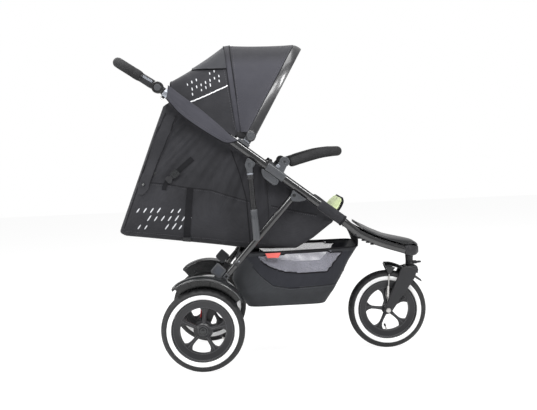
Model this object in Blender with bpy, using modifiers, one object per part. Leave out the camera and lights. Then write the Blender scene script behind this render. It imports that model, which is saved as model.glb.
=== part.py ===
"""Three-wheeled folding stroller with a lie-flat seat, canopy, bumper bar and basket.

Metres, +Z up, +X forward, +Y to the left. The floor is Z = 0.
Shapes are worked out with X measured from the rear axle. settle() then moves each piece to its
place, under an empty that stands on the axis about which the piece moves.
"""

import math

import bmesh
import bpy
from mathutils import Matrix, Vector

# Overall sizes

REAR_AXLE_X = -0.269
WHEELBASE = 0.685
GAP = 0.0003

# Wheels

TYRE_RADIUS = 0.1475
TYRE_WIDTH = 0.048
TYRE_STEPS = 32
RIM_RADIUS = 0.1095
RIM_INNER_RADIUS = 0.081
RIM_WIDTH = 0.034
SPOKE_COUNT = 5
SPOKE_DISC_THICKNESS = 0.016
HUB_RADIUS = 0.018
HUB_WIDTH = 0.042
DRUM_RADIUS = 0.034
AXLE_RADIUS = 0.006
REAR_SPOKE_ANGLE = 10.5
FRONT_SPOKE_ANGLE = 28.0

# Frame tubes

RAIL_Y = 0.235
RAIL_WIDTH = 0.020
RAIL_HEIGHT = 0.028
RAIL_SLOPE = math.radians(38.13)
HANDLE_HINGE = (-0.122, 1.003)
KNUCKLE_AT = 0.470
COLLAR_LENGTH = 0.076
COLLAR_HEIGHT = 0.032
COLLAR_WIDTH = 0.026
RAIL_STRAIGHT_END = 0.803
KNUCKLE_ABOVE = 0.0225
BARREL_RADIUS = 0.0065
FOLD_PIN_RADIUS = 0.003
LATCH_DEPTH = 0.0255

# Rear legs and side struts

LEG_RADIUS = 0.0125
LEG_FOOT_RADIUS = 0.0116
WHEEL_CLEARANCE = 0.0035
LEG_PIVOT_AT = 0.608
LEG_PIVOT_BELOW = 0.0275
LEG_FOOT = (0.081, 0.322)
LEG_PIN_RADIUS = 0.004
GUSSET_THICKNESS = 0.033
STRUT_AT = 0.4176
STRUT_BELOW = 0.0332
STRUT_RADIUS = 0.010
SLEEVE_RADIUS = 0.0125
STRUT_EYE_HALF = 0.0103
STRUT_FOOT_FROM_PIVOT = 0.204
SLEEVE_LENGTH = 0.105
AXLE_BEAM_RADIUS = 0.012
AXLE_ARM_THICKNESS = 0.022
SOCKET_SIZE = (0.040, 0.042, 0.023)
BRAKE_INSIDE = 0.020
BRAKE_WIDTH = 0.080

# Fenders

FENDER_CLEARANCE = 0.0125
FENDER_WIDTH = 0.0645
FENDER_WALL = 0.003
FENDER_CROWN = 0.010
FENDER_LIFT = 0.020
FENDER_SIDE_DEPTH = 0.042
FENDER_SIDE_WALL = 0.002
FENDER_START = 29.0
FENDER_END = 128.0

# Front end

CASTER_TRAIL = 0.091
STEM_RADIUS = 0.0095
HEAD_RADIUS = 0.0148
CROWN_ABOVE_TYRE = 0.0155
HEAD_ABOVE_CROWN = 0.0025
HEAD_LENGTH = 0.039
RAIL_END_ABOVE_HEAD = 0.023
CROWN_HEIGHT = 0.020
BLADE_INNER_Y = 0.031
BLADE_THICKNESS = 0.012
MUDGUARD_WALL = 0.003
LEVER_LENGTH = 0.021
RAIL_END_BEFORE_HEAD = 0.024
RAIL_END_Y = 0.060
NOSE_LENGTH = 0.062
FOOTPLATE_START = 0.36

# Handle

HANDLE_HUB_RADIUS = 0.021
HANDLE_ANGLE = math.radians(145.5)
HANDLE_ARM_WIDTH = 0.031
HANDLE_ARM_THICKNESS = 0.0125
GRIP_RADIUS = 0.0185
GRIP_CORE_RADIUS = 0.0125
GRIP_START = 0.066
GRIP_END = 0.185
BUTTON_RADIUS = 0.012
BUTTON_TRAVEL = 0.003

# Canopy

CANOPY_AT = 0.363
CANOPY_ABOVE = 0.054
CANOPY_HUB_RADIUS = 0.018
FRONT_BOW_TOP = (0.383, 1.143)
FRONT_BOW_WIDTH = 0.032
FRONT_BOW_WALL = 0.008
FRONT_BOW_OUTSIDE = 0.0065
FRONT_BOW_POWER = 2.2
MID_BOW_FOOT = (-0.042, 0.004)
MID_BOW_TOP = (0.120, 1.156)
MID_BOW_WIDTH = 0.022
MID_BOW_WALL = 0.006
MID_BOW_INSIDE = 0.0160
MID_BOW_POWER = 2.7
CANOPY_REAR_TOP = (-0.078, 1.030)
CANOPY_SIDE_START = 0.285
CANOPY_SIDE_END = 0.045
CANOPY_SIDE_ABOVE = 0.020
CANOPY_CLOTH = 0.003
ARCH_ANGLES = (0, 3, 8, 16, 25, 35, 45, 56, 67, 78, 90)
CANOPY_PIN_RADIUS = 0.004

# Bumper bar

BUMPER_AT = 0.512
BUMPER_ABOVE = 0.0487
BUMPER_HUB_RADIUS = 0.018
BUMPER_CORE_RADIUS = 0.009
BUMPER_FOAM_RADIUS = 0.0175
BUMPER_REACH = 0.203

# Soft goods

CLOTH_WALL = 0.004
BAG_BOTTOM_INSIDE = 0.070
BAG_WALL_INSIDE = 0.030
BAG_FOLD_DEPTH = 0.004
BAG_FOLD_COUNT = 5
LINER_INSIDE = 0.085
LINER_THICKNESS = 0.018
BASKET_FLOOR = 0.204
BASKET_TOP = 0.405
BASKET_WALL = 0.003

SIDES = (("left", 1), ("right", -1))

# Values worked out from the sizes above

SLOPE_COS = math.cos(RAIL_SLOPE)
SLOPE_SIN = math.sin(RAIL_SLOPE)
TYRE_INNER_Y = RAIL_Y + LEG_RADIUS + WHEEL_CLEARANCE
WHEEL_Y = TYRE_INNER_Y + TYRE_WIDTH / 2
HEAD_X = WHEELBASE + CASTER_TRAIL
RAIL_INNER_Y = RAIL_Y - RAIL_WIDTH / 2
RAIL_OUTER_Y = RAIL_Y + RAIL_WIDTH / 2
CROWN_TOP = 2 * TYRE_RADIUS + CROWN_ABOVE_TYRE
HEAD_BOTTOM = CROWN_TOP + HEAD_ABOVE_CROWN
HEAD_TOP = HEAD_BOTTOM + HEAD_LENGTH
RAIL_END_HEIGHT = HEAD_TOP + RAIL_END_ABOVE_HEAD
FRONT_BOW_Y = RAIL_Y + FRONT_BOW_OUTSIDE
MID_BOW_Y = RAIL_Y - MID_BOW_INSIDE
BAG_BOTTOM_Y = RAIL_Y - BAG_BOTTOM_INSIDE
BAG_WALL_Y = RAIL_Y - BAG_WALL_INSIDE
LINER_Y = RAIL_Y - LINER_INSIDE


def on_rail(distance, above=0.0):
    """X and Z of a point down the straight of the rail, measured from the handle hinge."""
    x = HANDLE_HINGE[0] + distance * SLOPE_COS + above * SLOPE_SIN
    z = HANDLE_HINGE[1] - distance * SLOPE_SIN + above * SLOPE_COS
    return x, z


REAR_AXLE = (0.0, TYRE_RADIUS)
FRONT_AXLE = (WHEELBASE, TYRE_RADIUS)
FOLD_PIVOT = on_rail(KNUCKLE_AT, KNUCKLE_ABOVE)
LEG_PIVOT = on_rail(LEG_PIVOT_AT, -LEG_PIVOT_BELOW)
STRUT_PIVOT = on_rail(STRUT_AT, -STRUT_BELOW)
CANOPY_PIVOT = on_rail(CANOPY_AT, CANOPY_ABOVE)
BUMPER_PIVOT = on_rail(BUMPER_AT, BUMPER_ABOVE)
STRUT_Y = RAIL_OUTER_Y + 0.0035 + SLEEVE_RADIUS
STRUT_FOOT = tuple(
    pivot + (foot - pivot) * STRUT_FOOT_FROM_PIVOT / math.dist(LEG_PIVOT, LEG_FOOT)
    for pivot, foot in zip(LEG_PIVOT, LEG_FOOT)
)
LEVER_PIVOT = (HEAD_X + HEAD_RADIUS + 0.0085, HEAD_BOTTOM + 0.008)


def across(point, y=0.0):
    """A point of X and Z as a place in space."""
    return point[0], y, point[1]


BODIES = {
    "chassis": (0.0, 0.0, 0.0),
    "upper_frame": across(FOLD_PIVOT),
    "handle": across(HANDLE_HINGE),
    "handle_button_left": across(HANDLE_HINGE, RAIL_Y),
    "handle_button_right": across(HANDLE_HINGE, -RAIL_Y),
    "fold_latch_left": across(on_rail(KNUCKLE_AT), RAIL_Y),
    "fold_latch_right": across(on_rail(KNUCKLE_AT), -RAIL_Y),
    "canopy_middle": across(CANOPY_PIVOT),
    "canopy_front": across(CANOPY_PIVOT),
    "bumper": across(BUMPER_PIVOT),
    "rear_legs": across(LEG_PIVOT),
    "struts": across(STRUT_PIVOT),
    "brake": across(REAR_AXLE),
    "rear_wheel_left": across(REAR_AXLE, WHEEL_Y),
    "rear_wheel_right": across(REAR_AXLE, -WHEEL_Y),
    "fork": (HEAD_X, 0.0, 0.0),
    "front_wheel": across(FRONT_AXLE),
    "swivel_lock": across(LEVER_PIVOT),
}

# Colour, roughness and metallic value of each finish

FINISHES = {
    "black_paint": ((0.018, 0.018, 0.020), 0.25, 0.6),
    "black_plastic": ((0.025, 0.025, 0.027), 0.45, 0.0),
    "grey_plastic": ((0.14, 0.145, 0.155), 0.45, 0.0),
    "glossy_plastic": ((0.030, 0.033, 0.033), 0.18, 0.0),
    "foam": ((0.022, 0.022, 0.024), 0.85, 0.0),
    "tyre": ((0.024, 0.024, 0.026), 0.75, 0.0),
    "steel": ((0.55, 0.55, 0.56), 0.30, 1.0),
    "black_cloth": ((0.028, 0.028, 0.033), 0.90, 0.0),
    "grey_cloth": ((0.075, 0.075, 0.095), 0.90, 0.0),
    "lime_cloth": ((0.60, 0.72, 0.33), 0.85, 0.0),
}


# Helpers


def clear_scene():
    for item in list(bpy.data.objects):
        bpy.data.objects.remove(item)


def new_object(name, mesh):
    item = bpy.data.objects.new(name, mesh)
    bpy.context.scene.collection.objects.link(item)
    return item


def evaluated_mesh(item):
    """The mesh that an object's modifiers or curve settings give."""
    graph = bpy.context.evaluated_depsgraph_get()
    return bpy.data.meshes.new_from_object(item.evaluated_get(graph))


def from_bmesh(name, shape):
    """An object from a bmesh, with its doubles merged and its faces turned outwards."""
    bmesh.ops.remove_doubles(shape, verts=shape.verts, dist=1e-6)
    bmesh.ops.recalc_face_normals(shape, faces=shape.faces)
    mesh = bpy.data.meshes.new(name)
    shape.to_mesh(mesh)
    shape.free()
    return new_object(name, mesh)


def as_mesh(item, turn=None):
    """Replaces a curve or a modified object by its welded mesh, turned if a matrix is given."""
    mesh = evaluated_mesh(item)
    name = item.name
    shape = bmesh.new()
    shape.from_mesh(mesh)
    shape.transform(item.matrix_world)
    if turn is not None:
        shape.transform(turn)
    bpy.data.objects.remove(item)
    bmesh.ops.remove_doubles(shape, verts=shape.verts, dist=1e-5)
    return from_bmesh(name, shape)


def combine(operation, target, tools):
    """Joins the tools to the target, or cuts them out of it."""
    for tool in tools:
        modifier = target.modifiers.new("Boolean", "BOOLEAN")
        modifier.operation = operation
        modifier.object = tool
        mesh = evaluated_mesh(target)
        target.modifiers.remove(modifier)
        target.data = mesh
        bpy.data.objects.remove(tool)
    return target


def joined(target, *tools):
    return combine("UNION", target, tools)


def carved(target, *tools):
    return combine("DIFFERENCE", target, tools)


def box(name, low, high):
    shape = bmesh.new()
    bmesh.ops.create_cube(shape, size=1.0)
    size = [b - a for a, b in zip(low, high)]
    middle = [(a + b) / 2 for a, b in zip(low, high)]
    bmesh.ops.scale(shape, vec=size, verts=shape.verts)
    bmesh.ops.translate(shape, vec=middle, verts=shape.verts)
    return from_bmesh(name, shape)


def cylinder(name, start, end, radius, sides=16):
    """A round bar between two points."""
    start, end = Vector(start), Vector(end)
    shape = bmesh.new()
    bmesh.ops.create_cone(
        shape,
        cap_ends=True,
        segments=sides,
        radius1=radius,
        radius2=radius,
        depth=(end - start).length,
    )
    turn = (end - start).to_track_quat("Z", "Y").to_matrix().to_4x4()
    shape.transform(Matrix.Translation((start + end) / 2) @ turn)
    return from_bmesh(name, shape)


def cross_bar(name, x, z, y_from, y_to, radius, sides=16):
    """A round bar across the stroller."""
    return cylinder(name, (x, y_from, z), (x, y_to, z), radius, sides)


def loft(name, rings):
    """A closed solid through rings of points, each ring with as many points."""
    shape = bmesh.new()
    rows = [[shape.verts.new(point) for point in ring] for ring in rings]
    count = len(rows[0])
    for row, after in zip(rows, rows[1:]):
        for i in range(count):
            j = (i + 1) % count
            shape.faces.new((row[i], row[j], after[j], after[i]))
    shape.faces.new(rows[0])
    shape.faces.new(rows[-1])
    return from_bmesh(name, shape)


def sheet(name, rows, wall, outwards=-1.0, ring=False, floor=False):
    """A shell of even wall over a grid of points. ring closes each row, floor closes the first."""
    shape = bmesh.new()
    grid = [[shape.verts.new(point) for point in row] for row in rows]
    count = len(grid[0])
    for row, after in zip(grid, grid[1:]):
        for i in range(count if ring else count - 1):
            j = (i + 1) % count
            shape.faces.new((row[i], row[j], after[j], after[i]))
    if floor:
        shape.faces.new(grid[0])
    item = from_bmesh(name, shape)
    solidify = item.modifiers.new("Solidify", "SOLIDIFY")
    solidify.thickness = wall
    solidify.offset = outwards
    solidify.use_even_offset = True
    return as_mesh(item)


def plate(name, outline, y_low, y_high):
    """A flat piece with an outline of X and Z, between two places across the stroller."""
    curve = bpy.data.curves.new(name, "CURVE")
    curve.dimensions = "2D"
    curve.fill_mode = "BOTH"
    curve.extrude = (y_high - y_low) / 2
    for points in outline if isinstance(outline[0][0], tuple) else [outline]:
        spline = curve.splines.new("POLY")
        spline.points.add(len(points) - 1)
        for point, (x, z) in zip(spline.points, points):
            point.co = (x, z, 0, 1)
        spline.use_cyclic_u = True
    item = new_object(name, curve)
    middle = Matrix.Translation((0, (y_high + y_low) / 2, 0))
    return as_mesh(item, middle @ Matrix.Rotation(math.radians(90), 4, "X"))


def side_plate(name, outline, side, inner_y, outer_y):
    """A plate on one side of the stroller, between two distances from its middle."""
    low, high = sorted((side * inner_y, side * outer_y))
    return plate(name, outline, low, high)


def tube(name, points, radius, resolution=3):
    """A round tube through points, with flat ends."""
    curve = bpy.data.curves.new(name, "CURVE")
    curve.dimensions = "3D"
    curve.bevel_depth = radius
    curve.bevel_resolution = resolution
    curve.use_fill_caps = True
    spline = curve.splines.new("POLY")
    spline.points.add(len(points) - 1)
    for point, place in zip(spline.points, points):
        point.co = (*place, 1)
    return as_mesh(new_object(name, curve))


def oval_tube(name, points, width, height, sides=12):
    """A tube of oval section, its width level and its height square to its run."""
    section = bpy.data.curves.new(name + "_section", "CURVE")
    section.dimensions = "2D"
    ring = section.splines.new("POLY")
    ring.points.add(sides - 1)
    for i, point in enumerate(ring.points):
        angle = math.tau * i / sides
        point.co = (width / 2 * math.cos(angle), height / 2 * math.sin(angle), 0, 1)
    ring.use_cyclic_u = True
    section_item = new_object(section.name, section)
    curve = bpy.data.curves.new(name, "CURVE")
    curve.dimensions = "3D"
    curve.twist_mode = "Z_UP"
    curve.bevel_mode = "OBJECT"
    curve.bevel_object = section_item
    curve.use_fill_caps = True
    spline = curve.splines.new("POLY")
    spline.points.add(len(points) - 1)
    for point, place in zip(spline.points, points):
        point.co = (*place, 1)
    item = as_mesh(new_object(name, curve))
    bpy.data.objects.remove(section_item)
    return item


def turned(name, profile, centre, steps, start_angle=0.0):
    """A ring turned about an axis across the stroller. The profile is radius and offset."""
    shape = bmesh.new()
    points = [shape.verts.new((radius, 0, offset)) for radius, offset in profile]
    for point, after in zip(points, points[1:] + points[:1]):
        shape.edges.new((point, after))
    mesh = bpy.data.meshes.new(name)
    shape.to_mesh(mesh)
    shape.free()
    item = new_object(name, mesh)
    screw = item.modifiers.new("Screw", "SCREW")
    screw.steps = steps
    screw.render_steps = steps
    screw.use_merge_vertices = True
    screw.merge_threshold = 1e-5
    turn = Matrix.Rotation(start_angle, 4, "Y") @ Matrix.Rotation(math.radians(90), 4, "X")
    return as_mesh(item, Matrix.Translation(centre) @ turn)


def smooth_path(points, steps):
    """Points along a smooth curve through the given ones."""
    points = [Vector(point) for point in points]
    padded = [2 * points[0] - points[1], *points, 2 * points[-1] - points[-2]]
    path = []
    for before, start, end, after in zip(padded, padded[1:], padded[2:], padded[3:]):
        for step in range(steps):
            t = step / steps
            path.append(
                0.5
                * (
                    2 * start
                    + (end - before) * t
                    + (2 * before - 5 * start + 4 * end - after) * t**2
                    + (3 * start - before - 3 * end + after) * t**3
                )
            )
    return path + [points[-1]]


def mirrored_path(half):
    """A path that starts on the left, and comes back on the right from its last, middle point."""
    return half + [Vector((p[0], -p[1], p[2])) for p in reversed(half[:-1])]


def rounded(points, radius, steps=2):
    """An outline with its corners rounded."""
    result = []
    count = len(points)
    for i in range(count):
        corner = Vector(points[i])
        before = Vector(points[i - 1]) - corner
        after = Vector(points[(i + 1) % count]) - corner
        reach = min(radius, before.length * 0.45, after.length * 0.45)
        start = corner + before.normalized() * reach
        end = corner + after.normalized() * reach
        for step in range(steps + 1):
            t = step / steps
            point = start * (1 - t) ** 2 + corner * 2 * t * (1 - t) + end * t**2
            result.append((point.x, point.y))
    return result


def arc(centre, radius, start, end, steps):
    """Points on an arc in X and Z, angles in degrees from +X towards +Z."""
    result = []
    for step in range(steps + 1):
        angle = math.radians(start + (end - start) * step / steps)
        result.append(
            (centre[0] + radius * math.cos(angle), centre[1] + radius * math.sin(angle))
        )
    return result


def disc(centre, radius, steps=20):
    return arc(centre, radius, 0, 360 * (steps - 1) / steps, steps - 1)


def subdivided(points, step):
    """An outline with extra points, so that none are further apart than the step."""
    result = [points[0]]
    for start, end in zip(points, points[1:]):
        count = max(1, math.ceil(math.dist(start, end) / step))
        for i in range(1, count + 1):
            t = i / count
            result.append(tuple(a + (b - a) * t for a, b in zip(start, end)))
    return result


def between(a, b, t):
    return a + (b - a) * t


def toward(start, end, distance):
    """The point at a distance from start on the way to end."""
    start, end = Vector(start), Vector(end)
    return start + (end - start).normalized() * distance


def settle(item, body, finish):
    """Names the piece's material, hangs it on its body's empty and shades it smooth."""
    pivot = Vector(BODIES[body])
    item.data.transform(Matrix.Translation(-pivot))
    item.parent = empties[body]
    item.data.materials.clear()
    item.data.materials.append(make_material(item.name, finish))
    item.data.shade_smooth()
    item.data.set_sharp_from_angle(angle=math.radians(35))
    bpy.context.scene.collection.objects.unlink(item)
    parts.objects.link(item)
    return item


def make_material(name, finish):
    colour, roughness, metallic = FINISHES[finish]
    material = bpy.data.materials.new(name)
    material.use_nodes = True
    shader = material.node_tree.nodes["Principled BSDF"]
    shader.inputs["Base Color"].default_value = (*colour, 1)
    shader.inputs["Roughness"].default_value = roughness
    shader.inputs["Metallic"].default_value = metallic
    return material


# Wheels


def window_outline(middle_angle):
    """One opening between two spokes, with round corners."""
    half = 180 / SPOKE_COUNT - 9.2
    outer = arc((0, 0), RIM_INNER_RADIUS - 0.0025, half, -half, 4)
    corners = rounded([(0.021, 0.0), outer[4], outer[2], outer[0]], 0.012)
    turn = Matrix.Rotation(math.radians(middle_angle), 2)
    return [tuple(turn @ Vector(point)) for point in corners]


def make_wheel(name, body, centre, spoke_angle, drum_side):
    """A tyre and a spoked rim. drum_side is where the brake drum is, or 0 for a front wheel."""
    x, y, z = centre
    tread = TYRE_RADIUS / math.cos(math.pi / TYRE_STEPS)
    half = TYRE_WIDTH / 2
    profile = [
        (tread, 0.009),
        (tread, -0.009),
        (tread - 0.006, -half + 0.007),
        (tread - 0.018, -half),
        (RIM_RADIUS + GAP, -RIM_WIDTH / 2 + 0.002),
        (RIM_RADIUS + GAP, RIM_WIDTH / 2 - 0.002),
        (tread - 0.018, half),
        (tread - 0.006, half - 0.007),
    ]
    facet = math.radians(180 / TYRE_STEPS)
    tyre = turned(name + "_tyre", profile, centre, TYRE_STEPS, facet)
    settle(tyre, body, "tyre")

    half_rim = RIM_WIDTH / 2
    ring = [
        (RIM_RADIUS, half_rim - 0.004),
        (RIM_RADIUS, -half_rim + 0.004),
        (RIM_RADIUS - 0.005, -half_rim),
        (RIM_INNER_RADIUS, -half_rim + 0.001),
        (RIM_INNER_RADIUS, half_rim - 0.001),
        (RIM_RADIUS - 0.005, half_rim),
    ]
    rim = turned(name + "_rim", ring, centre, TYRE_STEPS, facet)
    windows = [
        window_outline(spoke_angle + (i + 0.5) * 360 / SPOKE_COUNT) for i in range(SPOKE_COUNT)
    ]
    spokes = plate("spokes", [disc((0, 0), RIM_INNER_RADIUS + 0.007, 25), *windows],
                   -SPOKE_DISC_THICKNESS / 2, SPOKE_DISC_THICKNESS / 2)
    spokes.data.transform(Matrix.Translation(centre))
    hub = cross_bar("hub", x, z, y - HUB_WIDTH / 2, y + HUB_WIDTH / 2, HUB_RADIUS)
    rim = joined(rim, spokes, hub)
    bore_end = HUB_WIDTH
    if drum_side:
        drum = cross_bar("drum", x, z, y + drum_side * 0.009, y + drum_side * 0.0205,
                         DRUM_RADIUS)
        rim = joined(rim, drum)
        bore_end = HUB_WIDTH / 2 - 0.004
    bore_side = drum_side or 1
    bore = cross_bar("bore", x, z, y + bore_side * HUB_WIDTH, y - bore_side * bore_end,
                     AXLE_RADIUS + GAP, 12)
    settle(carved(rim, bore), body, "black_plastic")


# Rear legs, axle, fenders, brake


def leg_along(distance, aside=0.0):
    """X and Z of a point down the rear leg from its pivot, aside towards the rear."""
    x, z = toward(LEG_PIVOT, LEG_FOOT, distance)
    across = (Vector(LEG_FOOT) - Vector(LEG_PIVOT)).normalized()
    return x + across.y * aside, z - across.x * aside


def make_rear_leg(name, side):
    length = math.dist(LEG_PIVOT, LEG_FOOT)
    y = side * RAIL_Y
    start = leg_along(0.004)
    step = leg_along(length * 0.82)
    end = leg_along(length)
    leg = cylinder("leg", (start[0], y, start[1]), (step[0], y, step[1]), LEG_RADIUS)
    inside = leg_along(length * 0.8)
    lower = cylinder("lower", (inside[0], y, inside[1]), (end[0], y, end[1]), LEG_FOOT_RADIUS)
    low = RAIL_Y - LEG_RADIUS
    high = RAIL_Y + LEG_RADIUS
    eye = cross_bar("eye", *LEG_PIVOT, side * low, side * high, LEG_RADIUS + 0.0005)
    reach = (GUSSET_THICKNESS / 2) - 0.0005
    pin = cross_bar("pin", *LEG_PIVOT, side * (RAIL_Y - reach), side * (RAIL_Y + reach),
                    LEG_PIN_RADIUS, 10)
    leg = joined(leg, lower, eye, pin)
    leg.name = name
    settle(leg, "rear_legs", "black_paint")


def make_gusset(name, side):
    """The clevis under the lower rail that carries a rear leg's pivot."""
    under = -RAIL_HEIGHT / 2 - GAP
    outline = rounded(
        [
            on_rail(LEG_PIVOT_AT - 0.014, under),
            on_rail(LEG_PIVOT_AT + 0.044, under),
            on_rail(LEG_PIVOT_AT + 0.040, under - 0.008),
            (LEG_PIVOT[0] + 0.017, LEG_PIVOT[1] - 0.023),
            (LEG_PIVOT[0] - 0.008, LEG_PIVOT[1] - 0.021),
            (LEG_PIVOT[0] - 0.014, LEG_PIVOT[1] - 0.004),
        ],
        0.004,
    )
    half = GUSSET_THICKNESS / 2
    gusset = side_plate(name, outline, side, RAIL_Y - half, RAIL_Y + half)
    slot_half = LEG_RADIUS + GAP
    slot = box(
        "slot",
        (LEG_PIVOT[0] - 0.06, min(side * (RAIL_Y - slot_half), side * (RAIL_Y + slot_half)),
         LEG_PIVOT[1] - 0.06),
        (LEG_PIVOT[0] + LEG_RADIUS + 0.0015,
         max(side * (RAIL_Y - slot_half), side * (RAIL_Y + slot_half)), LEG_PIVOT[1] + 0.06),
    )
    hole = cross_bar("hole", *LEG_PIVOT, side * (RAIL_Y - 0.03), side * (RAIL_Y + 0.03),
                     LEG_PIN_RADIUS + GAP, 10)
    settle(carved(gusset, slot, hole), "chassis", "grey_plastic")


def make_rear_axle():
    """The beam between the wheels, its stub axles, and an arm up to each leg's foot."""
    x, z = REAR_AXLE
    beam_half = RAIL_Y + LEG_RADIUS
    axle = cross_bar("rear_axle", x, z, -beam_half, beam_half, AXLE_BEAM_RADIUS)
    stub_end = WHEEL_Y + HUB_WIDTH / 2 - 0.006
    axle = joined(axle, cross_bar("stub", x, z, -stub_end, stub_end, AXLE_RADIUS, 12))
    length = math.dist(LEG_PIVOT, LEG_FOOT)
    for _, side in SIDES:
        inner = beam_half - AXLE_ARM_THICKNESS
        top_a = leg_along(length + GAP, LEG_RADIUS - 0.001)
        top_b = leg_along(length + GAP, -LEG_RADIUS - 0.0025)
        outline = rounded([top_a, (x - 0.014, z + 0.004), (x - 0.006, z - 0.013),
                           (x + 0.014, z - 0.008), top_b], 0.006)
        axle = joined(axle, side_plate("arm", outline, side, inner, beam_half))
    settle(axle, "rear_legs", "black_paint")


def make_fender(name, side):
    """A crowned arch over a rear wheel, with a flat wall down between the wheel and the leg."""
    centre = (REAR_AXLE[0], REAR_AXLE[1] + FENDER_LIFT)
    edge = TYRE_RADIUS + FENDER_CLEARANCE
    wall_y = RAIL_Y + LEG_RADIUS + GAP
    inner_y = wall_y + FENDER_SIDE_WALL / 2
    rows = []
    for x, z in arc(centre, 1.0, FENDER_START, FENDER_END, 10):
        row = []
        for i in range(6):
            t = i / 5
            radius = edge + FENDER_CROWN * (1 - (2 * t - 1) ** 4)
            row.append((centre[0] + (x - centre[0]) * radius,
                        side * (inner_y + FENDER_WIDTH * t),
                        centre[1] + (z - centre[1]) * radius))
        rows.append(row)
    fender = sheet(name, rows, FENDER_WALL, 0.0)
    top = edge + FENDER_WALL / 2 - 0.0005
    outline = arc(centre, top, FENDER_START + 0.5, FENDER_END - 0.5, 12)
    outline += arc(centre, top - FENDER_SIDE_DEPTH, FENDER_END - 0.5, FENDER_START + 0.5, 12)
    wall = side_plate("wall", outline, side, wall_y, wall_y + FENDER_SIDE_WALL)
    settle(joined(fender, wall), "rear_legs", "black_plastic")


def make_socket(name, side):
    """The accessory socket behind a rear leg, with a flat outer face."""
    along, out, thick = SOCKET_SIZE
    middle = math.dist(LEG_PIVOT, LEG_FOOT) - 0.007
    near = LEG_FOOT_RADIUS + GAP
    outline = rounded(
        [
            leg_along(middle - along / 2, near),
            leg_along(middle + along / 2, near),
            leg_along(middle + along / 2, near + out),
            leg_along(middle - along / 2, near + out),
        ],
        0.005,
    )
    settle(side_plate(name, outline, side, RAIL_Y - thick / 2, RAIL_Y + thick / 2),
           "rear_legs", "grey_plastic")


def make_brake():
    """A foot pedal on a sleeve around the axle beam."""
    x, z = REAR_AXLE
    low = -RAIL_Y + BRAKE_INSIDE
    high = low + BRAKE_WIDTH
    pedal = cross_bar("brake_pedal", x, z, low, high, AXLE_BEAM_RADIUS + 0.006)
    outline = rounded([(x - 0.013, z + 0.008), (x + 0.011, z + 0.008), (x + 0.008, z + 0.066),
                       (x - 0.007, z + 0.068)], 0.004)
    pedal = joined(pedal, plate("lever", outline, low + 0.004, high - 0.004))
    bore = cross_bar("bore", x, z, low - 0.01, high + 0.01, AXLE_BEAM_RADIUS + GAP + 0.0002)
    settle(carved(pedal, bore), "brake", "black_plastic")


# Side struts between the upper frame and the rear legs


def make_strut(name, side):
    top = Vector((STRUT_PIVOT[0], side * STRUT_Y, STRUT_PIVOT[1]))
    foot = Vector((STRUT_FOOT[0], side * STRUT_Y, STRUT_FOOT[1]))
    split = toward(foot, top, SLEEVE_LENGTH)
    rod = cylinder("rod", toward(top, foot, 0.006), toward(split, top, GAP), STRUT_RADIUS)
    eye = cross_bar("eye", top.x, top.z, side * (STRUT_Y - STRUT_EYE_HALF),
                    side * (STRUT_Y + STRUT_EYE_HALF), 0.0145)
    hole = cross_bar("hole", top.x, top.z, side * (STRUT_Y - 0.03), side * (STRUT_Y + 0.03),
                     LEG_PIN_RADIUS + GAP, 10)
    strut = carved(joined(eye, rod), hole)
    strut.name = "strut_tube_" + name
    settle(strut, "struts", "black_paint")
    sleeve = cylinder("strut_sleeve_" + name, split, foot, SLEEVE_RADIUS)
    settle(sleeve, "struts", "grey_plastic")


def make_strut_bracket(name, side):
    """The eye plate under the upper rail, with the pin that the strut hangs on."""
    under = -RAIL_HEIGHT / 2 - GAP
    outline = rounded(
        [
            on_rail(STRUT_AT - 0.020, under),
            on_rail(STRUT_AT + 0.016, under),
            on_rail(STRUT_AT + 0.016, -STRUT_BELOW - 0.006),
            on_rail(STRUT_AT + 0.004, -STRUT_BELOW - 0.015),
            on_rail(STRUT_AT - 0.008, -STRUT_BELOW - 0.013),
            on_rail(STRUT_AT - 0.016, -STRUT_BELOW - 0.002),
        ],
        0.006,
    )
    outer = STRUT_Y - STRUT_EYE_HALF - GAP
    bracket = side_plate(name, outline, side, RAIL_INNER_Y + 0.002, outer)
    pin = cross_bar("pin", *STRUT_PIVOT, side * RAIL_Y, side * (STRUT_Y + STRUT_EYE_HALF + 0.001),
                    LEG_PIN_RADIUS, 10)
    settle(joined(bracket, pin), "upper_frame", "grey_plastic")


# Rails, knuckles and latches

RAIL_BEND = ((0.21, 0.343, 0.20), (0.416, 0.567, 0.4286), (0.66, 0.769, 0.714), (1.0, 1.0, 1.0))


def bend_points():
    """The lower rail after its straight: each point is X, distance from the middle, and Z."""
    start_x, start_z = on_rail(RAIL_STRAIGHT_END)
    end_x = HEAD_X - RAIL_END_BEFORE_HEAD
    return [
        (between(start_x, end_x, fx), between(RAIL_Y, RAIL_END_Y, fy),
         between(start_z, RAIL_END_HEIGHT, fz))
        for fx, fz, fy in RAIL_BEND
    ]


def make_lower_rail(name, side):
    start = on_rail(KNUCKLE_AT + COLLAR_LENGTH + GAP)
    knots = [on_rail(s) for s in (RAIL_STRAIGHT_END - 0.06, RAIL_STRAIGHT_END)]
    bent = [(x, RAIL_Y, z) for x, z in knots] + bend_points()
    path = [(start[0], RAIL_Y, start[1])] + smooth_path(bent, 2)
    end_x = path[-1][0]
    path.append(2 * path[-1] - path[-2])
    path = [(p[0], side * p[1], p[2]) for p in path]
    rail = oval_tube(name, path, RAIL_WIDTH, RAIL_HEIGHT)
    beyond = box("beyond", (end_x, -RAIL_Y, RAIL_END_HEIGHT - 0.1),
                 (end_x + 0.1, RAIL_Y, RAIL_END_HEIGHT + 0.1))
    settle(carved(rail, beyond), "chassis", "black_paint")


def rail_box(name, side, start, end, low, high, inner_y, outer_y):
    """A block in line with the rail, between distances down it and heights above its axis."""
    outline = [on_rail(start, low), on_rail(end, low), on_rail(end, high), on_rail(start, high)]
    return side_plate(name, outline, side, inner_y, outer_y)


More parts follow.
